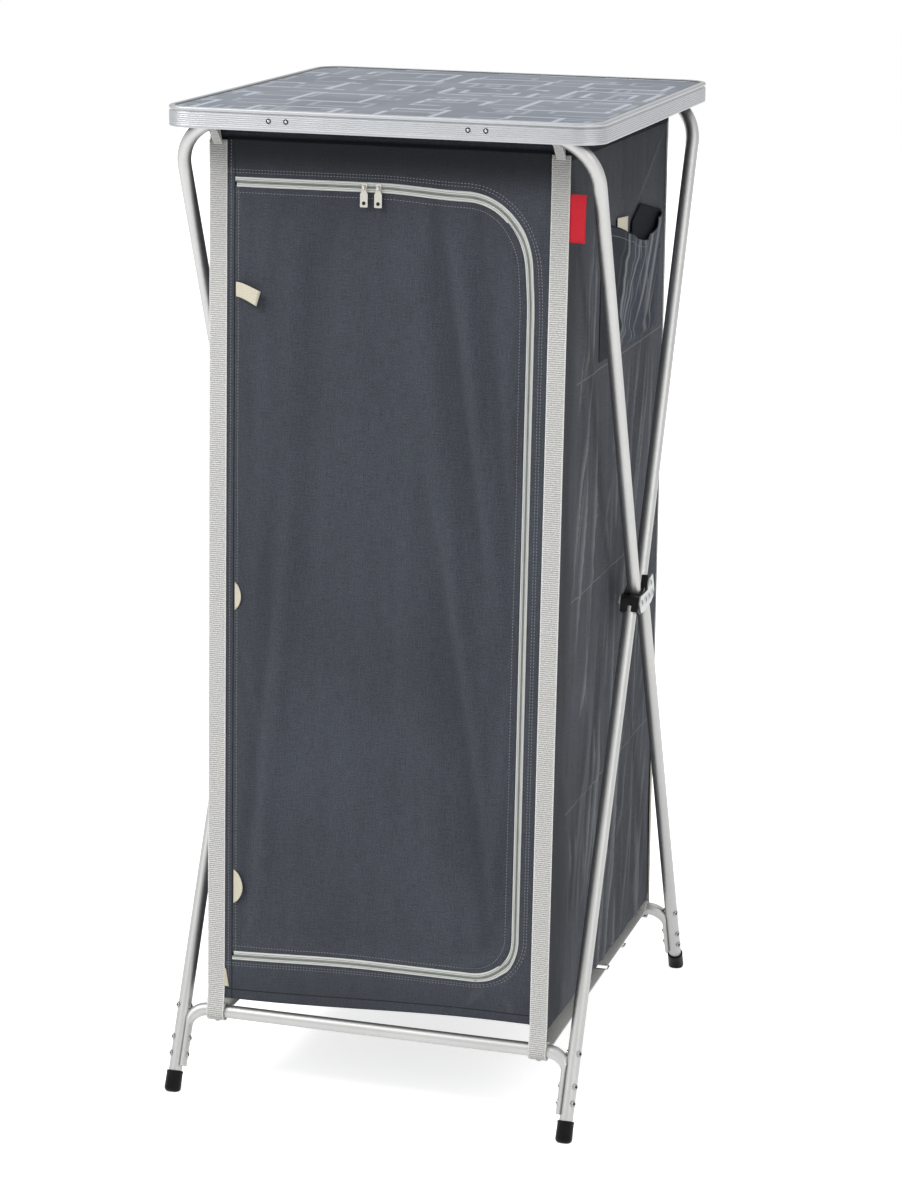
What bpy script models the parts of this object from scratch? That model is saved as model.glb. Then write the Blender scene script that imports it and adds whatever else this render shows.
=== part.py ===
# Folding camping cupboard: an aluminium frame that folds at two side knuckles, a lift-off
# worktop and a zipped cloth cabinet with shelves that hangs between the frame's bars.
# Metres, +Z up, origin on the floor under the middle of the cupboard, front towards -Y.

import bpy
import bmesh
from math import atan2, cos, degrees, hypot, pi, radians, sin, sqrt, tan
from mathutils import Matrix, Vector

# Fit
GAP = 0.0003                    # clearance between pieces that touch
RUNNING_GAP = 0.0004            # clearance of a rivet in its hole
MERGE = 0.00001

# Worktop
WORKTOP_WIDTH = 0.600
WORKTOP_DEPTH = 0.676
WORKTOP_HEIGHT = 1.389
CORNER_RADIUS = 0.040
BOARD_THICKNESS = 0.004
EDGE_HEIGHT = 0.028
EDGE_WALL = 0.0034
EDGE_REEDS = 4
EDGE_REED_DEPTH = 0.0006
EDGE_BEAD = 0.0045              # height of the round bead along the edge's foot
EDGE_GROOVE_Z = 0.0216          # height of the groove under the edge's round top
EDGE_GROOVE_DEPTH = 0.0022
EDGE_GROOVE_WIDTH = 0.0028
EDGE_ROUND = 0.0028
LIP_WIDTH = 0.0070
LIP_THICKNESS = 0.0012
LEDGE_WIDTH = 0.0110
LEDGE_THICKNESS = 0.0015
FLANGE_WIDTH = 0.0075
FLANGE_THICKNESS = 0.0016
CLIP_X = WORKTOP_WIDTH / 2 - 0.164      # middle of each clip under the worktop
CLIP_LENGTH = 0.044
CLIP_WEB = 0.0022               # clip's thickness over the bar
CLIP_WALL = 0.0030

# Frame
TUBE_RADIUS = 0.0095
TUBE_X = WORKTOP_WIDTH / 2 - 0.013      # middle of the side tubes
BAR_INSET = 0.0268              # top bar's middle from the worktop's edge
BAR_BEND = 0.075
PIN_Z = WORKTOP_HEIGHT / 2 - 0.0075
PIN_INNER_Y = 0.0105
PIN_OUTER_Y = 0.0335
FOOT_Y = WORKTOP_DEPTH / 2 + 0.0194
CROSSBAR_Z = 0.109
CROSSBAR_BEND = 0.025
CROSSBAR_END_Z = 0.033
CRUSHED_SHARE = 0.45            # crossbar end's thickness as a share of its diameter
CRUSHED_SPREAD = 0.10           # how much wider the crushed end is than the tube
CRUSHED_FROM = 0.35             # share of the bend after which the tube is crushed
CRUSHED_SINK = 0.0030           # how deep the crushed end is coped over the leg
CAP_LENGTH = 0.029
CAP_WALL = 0.0018
CAP_SOLE = 0.0060
CAP_ROUND = 0.0035

# Knuckles
PLATE_THICKNESS = 0.0020
PLATE_GAP = 0.0272              # between a knuckle's two plates
INNER_BARREL_RADIUS = 0.0094
OUTER_BARREL_RADIUS = 0.0108
TUBE_START = 0.0064             # tube's end from its pin
SKIRT_REACH = 0.0150            # fitting's end from its pin
LOCK_SKIRT_REACH = 0.0290       # the same where a second rivet locks the tube
LOCK_RIVET_REACH = 0.0197       # locking rivet from the pin, along the tube
RIVET_RADIUS = 0.0030
RIVET_HEAD_RADIUS = 0.0052
RIVET_HEAD_HEIGHT = 0.0015

# Cabinet
CABINET_WIDTH = WORKTOP_WIDTH - 0.105
CABINET_TOP = WORKTOP_HEIGHT - 0.029
CABINET_BOTTOM = 0.134
CABINET_DEPTH_TOP = WORKTOP_DEPTH - 0.106
CABINET_DEPTH_BOTTOM = WORKTOP_DEPTH - 0.054
SHELF_SPACING = 0.300
TOP_BAY = 0.333
SHELF_HEIGHTS = tuple(CABINET_TOP - TOP_BAY - SHELF_SPACING * i for i in (2, 1, 0))
CLOTH = 0.0012
SHELF_THICKNESS = 0.0040
FOLD_DEPTH = 0.0060             # how far the side cloth billows between its seams
DOOR_FOLD_DEPTH = 0.0030

# Door and zip
ZIP_TOP = CABINET_TOP - 0.072
ZIP_BOTTOM = CABINET_BOTTOM + 0.071
ZIP_RIGHT = CABINET_WIDTH / 2 - 0.0475
ZIP_TOP_CORNER = 0.092
ZIP_BOTTOM_CORNER = 0.062
ZIP_HALF = 0.0066
HEM_X = 0.035 - CABINET_WIDTH / 2
SLIDER_X = -0.0210
SLIDER_SPACING = 0.0197
SLIDER_WIDTH = 0.0085
SLIDER_HEIGHT = 0.0115
SLIDER_THICKNESS = 0.0022
BAIL_WIDTH = 0.0026
BAIL_OPENING = 0.0030
BAIL_WALL = 0.0012
PULL_LENGTH = 0.0268
PULL_WIDTH = 0.0106
PULL_THICKNESS = 0.0012
PULL_HOLE = 0.0026
PULL_BAR = 0.0012
PULL_SHOULDER = 0.0050          # from the pull's slot to its full width

# Webbing and trim
WEBBING_WIDTH = 0.025
WEBBING = 0.0014
STRAP_X = CABINET_WIDTH / 2 - 0.011
STRAP_TOP = CABINET_TOP - 0.019
STRAP_TURN = 0.006              # height above the cabinet's foot where a strap turns to its bar
HANGER_WIDTH = 0.012
HANGER_THICKNESS = 0.0012
HANGER_SLACK = 0.0010           # extra length of a hanger below its bar
HANGER_OVERLAP = 0.0065         # how far a hanger's tail reaches below the strap's end
BASE_STRAP_Z = CABINET_BOTTOM - 0.0065
BASE_STRAP_RISE = 0.040         # length over which a base strap climbs from its bar
HOOK_Y = 0.038
BUCKLE_Y = 0.143
BUCKLE_LENGTH = 0.018
BUCKLE_OVERHANG = 0.0035
BUCKLE_WALL = 0.0022
BUCKLE_THICKNESS = 0.0020
TAG_WIDTH = 0.023
TAG_TOP = CABINET_TOP - 0.068
TAG_BOTTOM = TAG_TOP - 0.063
POCKET_REAR = CABINET_DEPTH_TOP / 2 - 0.035
POCKET_FRONT = POCKET_REAR - 0.355
POCKET_TOP = CABINET_TOP - 0.148
POCKET_BOTTOM = POCKET_TOP - 0.172
POCKET_BULGE = 0.015
POCKET_FRONT_RISE = 0.018       # how much higher the mouth's front end is than its rear end
POCKET_SAG = 0.037
POCKET_MARGIN = 0.060           # how far round the pocket the wall stays flat

# Worked-out sizes
BOARD_UNDER = WORKTOP_HEIGHT - GAP - LIP_THICKNESS - BOARD_THICKNESS
BAR_Y = WORKTOP_DEPTH / 2 - BAR_INSET
BAR_Z = BOARD_UNDER - 2 * GAP - CLIP_WEB - TUBE_RADIUS
UPPER_LEAN = atan2(BAR_Y - PIN_INNER_Y, BAR_Z - PIN_Z)
UPPER_LENGTH = hypot(BAR_Y - PIN_INNER_Y, BAR_Z - PIN_Z)
LOWER_LEAN = atan2(FOOT_Y - PIN_OUTER_Y, PIN_Z)
LEG_LENGTH = PIN_Z / cos(LOWER_LEAN)
BARREL_LENGTH = PLATE_GAP - 2 * GAP
BORE_RADIUS = (RIVET_RADIUS + RUNNING_GAP) / cos(pi / 12)
COPE_RADIUS = (TUBE_RADIUS + GAP) / cos(pi / 24)
CABINET_HEIGHT = CABINET_TOP - CABINET_BOTTOM
CABINET_LEAN = atan2((CABINET_DEPTH_BOTTOM - CABINET_DEPTH_TOP) / 2, CABINET_HEIGHT)
CROSSBAR_Y = PIN_OUTER_Y + (PIN_Z - CROSSBAR_Z) * tan(LOWER_LEAN)

# Turns that stand a flat outline up in space
SIDES = (("left", -1), ("right", 1))
STAND_XZ = Matrix.Rotation(pi / 2, 4, "X")
STAND_YZ = Matrix.Rotation(pi / 2, 4, "Z") @ Matrix.Rotation(pi / 2, 4, "X")
ALONG_X = Matrix.Rotation(pi / 2, 4, "Y")


def clear_scene():
    for obj in list(bpy.data.objects):
        bpy.data.objects.remove(obj, do_unlink=True)


def new_collection(name):
    collection = bpy.data.collections.new(name)
    bpy.context.scene.collection.children.link(collection)
    return collection


clear_scene()
CUPBOARD = new_collection("folding_cupboard")
CUTTERS = new_collection("cutters")


def material(name, color, roughness, metallic=0.0):
    """A plain Principled material."""
    made = bpy.data.materials.new(name)
    made.use_nodes = True
    shader = made.node_tree.nodes["Principled BSDF"]
    shader.inputs["Base Color"].default_value = (*color, 1.0)
    shader.inputs["Roughness"].default_value = roughness
    shader.inputs["Metallic"].default_value = metallic
    return made


ALUMINIUM = material("satin_aluminium", (0.62, 0.63, 0.63), 0.38, 1.0)
PLATE_STEEL = material("plated_steel", (0.60, 0.61, 0.60), 0.34, 1.0)
NICKEL = material("nickel", (0.66, 0.65, 0.60), 0.28, 1.0)
LAMINATE = material("grey_laminate", (0.30, 0.32, 0.38), 0.45)
BLACK_PLASTIC = material("black_plastic", (0.012, 0.012, 0.013), 0.50)
CANVAS = material("grey_canvas", (0.058, 0.062, 0.068), 0.85)
WEB_CLOTH = material("grey_webbing", (0.48, 0.46, 0.43), 0.90)
ZIP_CLOTH = material("zip_tape", (0.60, 0.62, 0.52), 0.80)
RED_CLOTH = material("red_tag", (0.55, 0.02, 0.04), 0.70)


def add(obj, surface, parent=None, collection=None):
    """Links an object, gives it its material and hangs it on its parent."""
    (collection or CUPBOARD).objects.link(obj)
    if surface:
        obj.data.materials.clear()
        obj.data.materials.append(surface)
    obj.parent = parent
    return obj


def frame_at(name, location, turn):
    """An empty that stands on a joint's axis or in a panel's plane."""
    empty = bpy.data.objects.new(name, None)
    empty.location = location
    empty.rotation_euler = (turn, 0, 0)
    empty.empty_display_size = 0.03
    CUPBOARD.objects.link(empty)
    return empty


def smooth(mesh, degrees=35):
    """Round faces are shaded smooth and edges stay sharp."""
    mesh.shade_smooth()
    mesh.set_sharp_from_angle(angle=radians(degrees))


def outline_curve(name, outlines, thickness):
    """A flat plate in the XY plane: its first outline is its edge, the others are holes."""
    curve = bpy.data.curves.new(name, "CURVE")
    curve.dimensions = "2D"
    curve.fill_mode = "BOTH"
    curve.extrude = thickness / 2
    for outline in outlines:
        spline = curve.splines.new("POLY")
        spline.points.add(len(outline) - 1)
        for point, (x, y) in zip(spline.points, outline):
            point.co = (x, y, 0, 1)
        spline.use_cyclic_u = True
    return bpy.data.objects.new(name, curve)


def tube_curve(name, points, radius, resolution=4):
    """A round tube along points."""
    curve = bpy.data.curves.new(name, "CURVE")
    curve.dimensions = "3D"
    curve.bevel_depth = radius
    curve.bevel_resolution = resolution
    curve.use_fill_caps = True
    spline = curve.splines.new("POLY")
    spline.points.add(len(points) - 1)
    for point, place in zip(spline.points, points):
        point.co = (*place, 1)
    return bpy.data.objects.new(name, curve)


def turned(name, profile, steps):
    """A turned shape round Z: the profile runs from its top to its bottom, outside the axis."""
    mesh = bpy.data.meshes.new(name)
    edges = [(i, i + 1) for i in range(len(profile) - 1)]
    mesh.from_pydata([(r, 0, z) for r, z in profile], edges, [])
    obj = bpy.data.objects.new(name, mesh)
    screw = obj.modifiers.new("turn", "SCREW")
    screw.steps = steps
    screw.render_steps = steps
    screw.use_merge_vertices = True
    screw.merge_threshold = MERGE
    return obj


def mesh_of(obj, turn=Matrix.Identity(4)):
    """The finished mesh of a curve or a modified object, merged, which the object gives up."""
    bpy.context.scene.collection.objects.link(obj)
    bpy.context.view_layer.update()
    graph = bpy.context.evaluated_depsgraph_get()
    mesh = bpy.data.meshes.new_from_object(obj.evaluated_get(graph))
    name = obj.name
    bpy.data.objects.remove(obj, do_unlink=True)
    made = bmesh.new()
    made.from_mesh(mesh)
    bmesh.ops.remove_doubles(made, verts=made.verts, dist=MERGE)
    bmesh.ops.transform(made, matrix=turn, verts=made.verts)
    made.to_mesh(mesh)
    made.free()
    mesh.name = name
    return mesh


def plate_mesh(name, outlines, thickness, turn=STAND_XZ):
    return mesh_of(outline_curve(name, outlines, thickness), turn)


def copies(name, mesh, places):
    """One mesh that holds a copy of another at each of the places."""
    joined = bmesh.new()
    for place in places:
        piece = mesh.copy()
        piece.transform(place)
        joined.from_mesh(piece)
        bpy.data.meshes.remove(piece)
    made = bpy.data.meshes.new(name)
    joined.to_mesh(made)
    joined.free()
    return made


def solid(name, mesh, surface, parent=None, shaded=True):
    """A named sub-part from a finished mesh."""
    if shaded:
        smooth(mesh)
    mesh.name = name
    return add(bpy.data.objects.new(name, mesh), surface, parent)


def keep_place(obj, parent):
    """Hangs a piece that was drawn in the cupboard's own frame on its joint's empty."""
    obj.parent = parent
    turn = Matrix.Rotation(parent.rotation_euler.x, 4, "X")
    obj.matrix_parent_inverse = (Matrix.Translation(parent.location) @ turn).inverted()
    return obj


def cutter(name, mesh, parent=None):
    obj = add(bpy.data.objects.new(name, mesh), None, parent, CUTTERS)
    obj.hide_render = True
    obj.display_type = "WIRE"
    return obj


def rod_mesh(name, radius, length, place, sides=24):
    """A plain cylinder along Z, used as a cutter."""
    made = bmesh.new()
    bmesh.ops.create_cone(made, cap_ends=True, segments=sides, radius1=radius,
                          radius2=radius, depth=length)
    bmesh.ops.transform(made, matrix=place, verts=made.verts)
    mesh = bpy.data.meshes.new(name)
    made.to_mesh(mesh)
    made.free()
    return mesh


def cut(obj, tool, operation="DIFFERENCE"):
    boolean = obj.modifiers.new(tool.name, "BOOLEAN")
    boolean.operation = operation
    boolean.object = tool
    return obj


def box_mesh(name, low, high, bevel=0.0):
    """A box between two corners, with its edges eased by bevel."""
    made = bmesh.new()
    bmesh.ops.create_cube(made, size=1)
    low, high = Vector(low), Vector(high)
    size = Matrix.Diagonal((*(high - low), 1))
    bmesh.ops.transform(made, matrix=Matrix.Translation((low + high) / 2) @ size, verts=made.verts)
    if bevel:
        bmesh.ops.bevel(made, geom=made.edges[:], offset=bevel, affect="EDGES", segments=2,
                        profile=0.5, material=-1)
    mesh = bpy.data.meshes.new(name)
    made.to_mesh(mesh)
    made.free()
    return mesh


def arc(cx, cy, radius, start, end, steps):
    """Points on an arc, angles in degrees."""
    angles = [radians(start + (end - start) * i / steps) for i in range(steps + 1)]
    return [(cx + radius * cos(a), cy + radius * sin(a)) for a in angles]


def rounded(points, radius, steps=4):
    """An outline with every corner turned into an arc of the given radius."""
    result = []
    count = len(points)
    for i, (px, py) in enumerate(points):
        corner = Vector((px, py))
        before = (Vector(points[i - 1]) - corner)
        after = (Vector(points[(i + 1) % count]) - corner)
        limit = 0.45 * min(before.length, after.length)
        half = before.angle(after) / 2
        reach = min(radius / tan(half), limit)
        r = reach * tan(half)
        centre = corner + (before.normalized() + after.normalized()).normalized() * hypot(reach, r)
        first = corner + before.normalized() * reach - centre
        sweep = before.normalized().angle(after.normalized()) - pi
        turn = 1 if before.cross(after) > 0 else -1
        for step in range(steps + 1):
            spin = Matrix.Rotation(turn * sweep * step / steps, 2)
            place = centre + spin @ first
            result.append((place.x, place.y))
    return result


# Frames that carry the moving pieces. Local +Z points along the tube, away from its pin.
UPPER_FRONT = frame_at("upper_front_axis", (0, -PIN_INNER_Y, PIN_Z), UPPER_LEAN)
UPPER_REAR = frame_at("upper_rear_axis", (0, PIN_INNER_Y, PIN_Z), -UPPER_LEAN)
LOWER_FRONT = frame_at("lower_front_axis", (0, -PIN_OUTER_Y, PIN_Z), pi - LOWER_LEAN)
LOWER_REAR = frame_at("lower_rear_axis", (0, PIN_OUTER_Y, PIN_Z), LOWER_LEAN - pi)
FRONT_FACE = frame_at("cabinet_front", (0, -CABINET_DEPTH_BOTTOM / 2, CABINET_BOTTOM), -CABINET_LEAN)


def edge_section():
    """Section of the aluminium edge: x goes inwards from its outer face, y goes up."""
    top, groove, bead = EDGE_HEIGHT, EDGE_GROOVE_Z, EDGE_BEAD
    below, above = groove - 0.4 * EDGE_GROOVE_WIDTH, groove + 0.6 * EDGE_GROOVE_WIDTH
    reed = (below - bead) / EDGE_REEDS
    face = [(EDGE_REED_DEPTH, 0), (0, 0.3 * bead), (0, 0.75 * bead), (EDGE_REED_DEPTH, bead)]
    for i in range(EDGE_REEDS):
        face.append((0.2 * EDGE_REED_DEPTH, bead + reed * (i + 0.5)))
        face.append((EDGE_REED_DEPTH, bead + reed * (i + 1)))
    ledge = top - LIP_THICKNESS - 2 * GAP - BOARD_THICKNESS
    face += [(EDGE_GROOVE_DEPTH, groove), (EDGE_REED_DEPTH, above)]
    face += arc(EDGE_ROUND, top - EDGE_ROUND, EDGE_ROUND, 180, 90, 4)
    face += [(LIP_WIDTH, top), (LIP_WIDTH + GAP, top - LIP_THICKNESS)]
    face += [(EDGE_WALL, top - LIP_THICKNESS), (EDGE_WALL, ledge), (LEDGE_WIDTH, ledge)]
    face += [(LEDGE_WIDTH, ledge - LEDGE_THICKNESS), (EDGE_WALL, ledge - LEDGE_THICKNESS)]
    face += [(EDGE_WALL, FLANGE_THICKNESS), (FLANGE_WIDTH, FLANGE_THICKNESS), (FLANGE_WIDTH, 0)]
    return face


def rounded_rectangle(half_x, half_y, radius, steps=5):
    result = []
    for cx, cy, start in ((1, 1, 0), (-1, 1, 90), (-1, -1, 180), (1, -1, 270)):
        middle = (cx * (half_x - radius), cy * (half_y - radius))
        result += arc(*middle, radius, start, start + 90, steps)
    return result


def worktop_edge():
    """The reeded edge, its section swept round the worktop."""
    section = outline_curve("edge_section", [edge_section()], 0)
    section.data.fill_mode = "NONE"
    add(section, None, collection=CUTTERS)
    section.hide_render = True
    section.display_type = "WIRE"
    outline = rounded_rectangle(WORKTOP_WIDTH / 2, WORKTOP_DEPTH / 2, CORNER_RADIUS)
    ring = outline_curve("worktop_edge", [outline], 0)
    ring.data.fill_mode = "NONE"
    ring.data.bevel_mode = "OBJECT"
    ring.data.bevel_object = section
    ring.location = (0, 0, WORKTOP_HEIGHT - EDGE_HEIGHT)
    add(ring, ALUMINIUM)


def worktop_board():
    inset = EDGE_WALL + GAP
    outline = rounded_rectangle(WORKTOP_WIDTH / 2 - inset, WORKTOP_DEPTH / 2 - inset,
                                CORNER_RADIUS - inset)
    board = outline_curve("worktop_board", [outline], BOARD_THICKNESS)
    board.location = (0, 0, BOARD_UNDER + BOARD_THICKNESS / 2)
    add(board, LAMINATE)


def clip_outline(open_below):
    """Clip round a top bar: x goes outwards from the bar's middle, y goes up.
    A front clip hooks under its bar, a rear clip lifts straight off it."""
    round_bar = TUBE_RADIUS + GAP
    wall = BAR_INSET - EDGE_WALL - GAP
    board = round_bar + CLIP_WEB
    ledge_end = BAR_INSET - LEDGE_WIDTH - GAP
    ledge_under = board - GAP - LEDGE_THICKNESS
    flange_end = BAR_INSET - FLANGE_WIDTH - GAP
    flange_over = WORKTOP_HEIGHT - EDGE_HEIGHT + FLANGE_THICKNESS + GAP - BAR_Z
    outside = [(ledge_end, board), (ledge_end, ledge_under), (wall, ledge_under),
               (wall, flange_over), (flange_end, flange_over)]
    if open_below:
        inside = [(round_bar, flange_over)] + arc(0, 0, round_bar, 0, 180, 12)
        return outside + inside + [(-round_bar - CLIP_WALL, 0), (-round_bar - CLIP_WALL, board)]
    lip = -round_bar - CLIP_WALL
    return outside + [(flange_end, lip), (0, lip)] + arc(0, 0, round_bar, -90, 90, 12) + [(0, board)]


def worktop_clips():
    kinds = (("front", "hook", -1, False), ("rear", "saddle", 1, True))
    for row, kind, outwards, open_below in kinds:
        outline = [(outwards * x, y) for x, y in clip_outline(open_below)]
        for side, sign in SIDES:
            name = f"worktop_{row}_{side}_{kind}"
            place = Matrix.Translation((sign * CLIP_X, outwards * BAR_Y, BAR_Z)) @ STAND_YZ
            solid(name, plate_mesh(name, [outline], CLIP_LENGTH, place), BLACK_PLASTIC)


def upper_frame(name, parent, locked):
    """A hoop: two side tubes bent into one top bar."""
    bend = arc(TUBE_X - BAR_BEND, UPPER_LENGTH - BAR_BEND, BAR_BEND, 0, 90, 6)
    half = [(TUBE_X, TUBE_START)] + bend
    path = [(x, 0, s) for x, s in half] + [(-x, 0, s) for x, s in reversed(half)]
    mesh = mesh_of(tube_curve(name, path, TUBE_RADIUS))
    hoop = solid(name, mesh, ALUMINIUM, parent)
    if locked:
        for side in (-1, 1):
            spot = Matrix.Translation((side * TUBE_X, 0, LOCK_RIVET_REACH))
            mesh = rod_mesh("hole", BORE_RADIUS, 4 * TUBE_RADIUS, spot @ ALONG_X, 12)
            cut(hoop, cutter(f"{name}_hole_{side}", mesh, parent))
    return hoop


def tube_fitting(name, parent, side, barrel_radius, reach, locked=False):
    """Moulded tube end: a barrel across the pin whose cheeks flank the tube."""
    half = min(TUBE_RADIUS, 0.97 * barrel_radius)
    rise = degrees(atan2(sqrt(barrel_radius ** 2 - half ** 2), half))
    outline = [(half, reach), (-half, reach)]
    outline += arc(0, 0, barrel_radius, 180 - rise, 360 + rise, 10)
    middle = Matrix.Translation((side * TUBE_X, 0, 0))
    body = solid(name, plate_mesh(name, [outline], BARREL_LENGTH, middle @ STAND_YZ),
                 BLACK_PLASTIC, parent)
    bore = middle @ Matrix.Translation((0, 0, TUBE_START - GAP + reach))
    cut(body, cutter(f"{name}_bore", rod_mesh("bore", COPE_RADIUS, 2 * reach, bore), parent))
    for number, along in enumerate((0, LOCK_RIVET_REACH) if locked else (0,)):
        spot = middle @ Matrix.Translation((0, 0, along)) @ ALONG_X
        hole = rod_mesh("hole", BORE_RADIUS, 2 * PLATE_GAP, spot, 12)
        cut(body, cutter(f"{name}_hole_{number}", hole, parent))


def knuckle_pins():
    """Pin places in the knuckle plate: y to the rear and z up from the row of pins."""
    lock = (PIN_INNER_Y + LOCK_RIVET_REACH * sin(UPPER_LEAN), LOCK_RIVET_REACH * cos(UPPER_LEAN))
    row = [(y, 0) for y in (-PIN_OUTER_Y, -PIN_INNER_Y, PIN_INNER_Y, PIN_OUTER_Y)]
    return row + [lock]


def knuckle_plate(name, x, with_holes):
    """Pressed plate: a level bar over the four pins, with a lobe along the locked tube."""
    end = PIN_OUTER_Y + 0.0125
    lock_y, lock_z = knuckle_pins()[-1]
    corners = [(-end, 0.002), (-end + 0.010, -0.014), (-PIN_OUTER_Y + 0.017, -0.016),
               (PIN_OUTER_Y - 0.007, -0.012), (end, -0.004), (end - 0.003, 0.009),
               (lock_y + 0.0145, lock_z + 0.0105), (lock_y - 0.0085, lock_z + 0.0065),
               (0.004, 0.011), (-end + 0.005, 0.011)]
    outlines = [rounded(corners, 0.004, 3)]
    if with_holes:
        outlines += [arc(y, z, BORE_RADIUS, 0, 330, 11) for y, z in knuckle_pins()]
    turn = Matrix.Translation((x, 0, PIN_Z)) @ STAND_YZ
    return solid(name, plate_mesh(name, outlines, PLATE_THICKNESS, turn), PLATE_STEEL)


def knuckle_plates():
    """Two plates a side. The rivets are peened over the outer plate and are one piece with
    it; they run in the tube ends and through the inner plate, and are headed on it."""
    middle = PLATE_GAP / 2 + PLATE_THICKNESS / 2
    sunk = PLATE_GAP / 2 + 0.7 * PLATE_THICKNESS
    face = PLATE_GAP / 2 + PLATE_THICKNESS
    inner_face = face + GAP
    shoulder, crown = 0.6 * RIVET_HEAD_RADIUS, 0.4 * RIVET_HEAD_HEIGHT
    profile = [(0, face + RIVET_HEAD_HEIGHT), (shoulder, face + RIVET_HEAD_HEIGHT),
               (RIVET_HEAD_RADIUS, face + crown), (RIVET_HEAD_RADIUS, sunk),
               (RIVET_RADIUS, sunk), (RIVET_RADIUS, -inner_face),
               (RIVET_HEAD_RADIUS, -inner_face), (RIVET_HEAD_RADIUS, -inner_face - crown),
               (shoulder, -inner_face - RIVET_HEAD_HEIGHT), (0, -inner_face - RIVET_HEAD_HEIGHT)]
    rivet = mesh_of(turned("rivet", profile, 12), ALONG_X)
    for side, sign in SIDES:
        knuckle_plate(f"inner_knuckle_plate_{side}", sign * (TUBE_X - middle), True)
        plate = knuckle_plate(f"outer_knuckle_plate_{side}", sign * (TUBE_X + middle), False)
        turn = Matrix.Rotation(0 if sign > 0 else pi, 4, "Z")
        spots = [turn @ Matrix.Translation((TUBE_X, sign * y, PIN_Z + z))
                 for y, z in knuckle_pins()]
        cut(plate, cutter(f"knuckle_rivets_{side}", copies("rivets", rivet, spots)), "UNION")


def reach_at(height):
    """Distance from the outer pin, along the leg, of the point at a height."""
    return (PIN_Z - height) / cos(LOWER_LEAN)


def leg(name, parent, side):
    end = LEG_LENGTH - CAP_SOLE - GAP
    path = [(side * TUBE_X, 0, TUBE_START), (side * TUBE_X, 0, end)]
    solid(name, mesh_of(tube_curve(name, path, TUBE_RADIUS)), ALUMINIUM, parent)


def foot_cap(name, parent, side):
    """Cap pushed over the tube's end, its sole cut level with the floor."""
    bore = (TUBE_RADIUS + GAP) / cos(pi / 16)
    outer = bore + CAP_WALL
    end = LEG_LENGTH + CAP_ROUND / 2
    sole = LEG_LENGTH - CAP_SOLE
    mouth = LEG_LENGTH - CAP_LENGTH
    rounding = [(outer - CAP_ROUND + x, end - CAP_ROUND + y)
                for x, y in arc(0, 0, CAP_ROUND, 90, 0, 3)]
    profile = [(0, end)] + rounding + [(outer, mouth), (bore, mouth), (bore, sole), (0, sole)]
    mesh = mesh_of(turned(name, profile, 16))
    mesh.transform(Matrix.Translation((side * TUBE_X, 0, 0)))
    made = bmesh.new()
    made.from_mesh(mesh)
    turn = Matrix.Rotation(-parent.rotation_euler.x, 3, "X")
    floor_point = turn @ (-parent.location)
    level = turn @ Vector((0, 0, 1))
    result = bmesh.ops.bisect_plane(made, geom=made.verts[:] + made.edges[:] + made.faces[:],
                                    dist=MERGE, plane_co=floor_point, plane_no=level,
                                    clear_inner=True)
    rim = [e for e in result["geom_cut"] if isinstance(e, bmesh.types.BMEdge)]
    bmesh.ops.contextual_create(made, geom=rim)
    made.to_mesh(mesh)
    made.free()
    solid(name, mesh, BLACK_PLASTIC, parent)


def crossbar(name, parent):
    """Bar between two legs, its ends bent down, crushed and coped over the legs."""
    level, last = reach_at(CROSSBAR_Z), reach_at(CROSSBAR_END_Z)
    thick = TUBE_RADIUS * CRUSHED_SHARE
    end_x = TUBE_X - TUBE_RADIUS - thick + CRUSHED_SINK
    bend = arc(end_x - CROSSBAR_BEND, level + CROSSBAR_BEND, CROSSBAR_BEND, 0, -90, 6)
    half = [(end_x, last)] + [(end_x, last + (bend[0][1] - last) * t) for t in (0.45, 0.9)] + bend
    path = [(x, 0, s) for x, s in half] + [(-x, 0, s) for x, s in reversed(half)]
    mesh = mesh_of(tube_curve(name, path, TUBE_RADIUS))
    for vertex in mesh.vertices:
        bent = (vertex.co.z - level) / CROSSBAR_BEND
        share = (bent - CRUSHED_FROM) / (1 - CRUSHED_FROM)
        share = min(max(share, 0), 1)
        share = share * share * (3 - 2 * share)
        side = 1 if vertex.co.x > 0 else -1
        squeeze = 1 - share * (1 - CRUSHED_SHARE)
        vertex.co.x = side * (end_x + (side * vertex.co.x - end_x) * squeeze)
        vertex.co.y *= 1 + CRUSHED_SPREAD * share
    bar = solid(name, mesh, ALUMINIUM, parent)
    for side in (-1, 1):
        spot = Matrix.Translation((side * TUBE_X, 0, LEG_LENGTH - 0.12))
        cut(bar, cutter(f"{name}_cope_{side}", rod_mesh("cope", COPE_RADIUS, 0.24, spot), parent))


def lower_frame(name, parent):
    for side, sign in SIDES:
        leg(f"{name}_{side}_leg", parent, sign)
        foot_cap(f"{name}_{side}_foot_cap", parent, sign)
        tube_fitting(f"{name}_{side}_leg_fitting", parent, sign, OUTER_BARREL_RADIUS, SKIRT_REACH)
    crossbar(f"{name}_crossbar", parent)


def ribbon_mesh(name, points, width, thickness):
    """A strip of webbing across X that follows points given as (y, z)."""
    made = bmesh.new()
    rows = []
    for y, z in points:
        rows.append([made.verts.new((x, y, z)) for x in (-width / 2, width / 2)])
    for low, high in zip(rows, rows[1:]):
        made.faces.new((low[0], low[1], high[1], high[0]))
    mesh = bpy.data.meshes.new(name)
    made.to_mesh(mesh)
    made.free()
    obj = bpy.data.objects.new(name, mesh)
    wall = obj.modifiers.new("wall", "SOLIDIFY")
    wall.thickness = thickness
    wall.offset = 0
    return mesh_of(obj)


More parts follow.
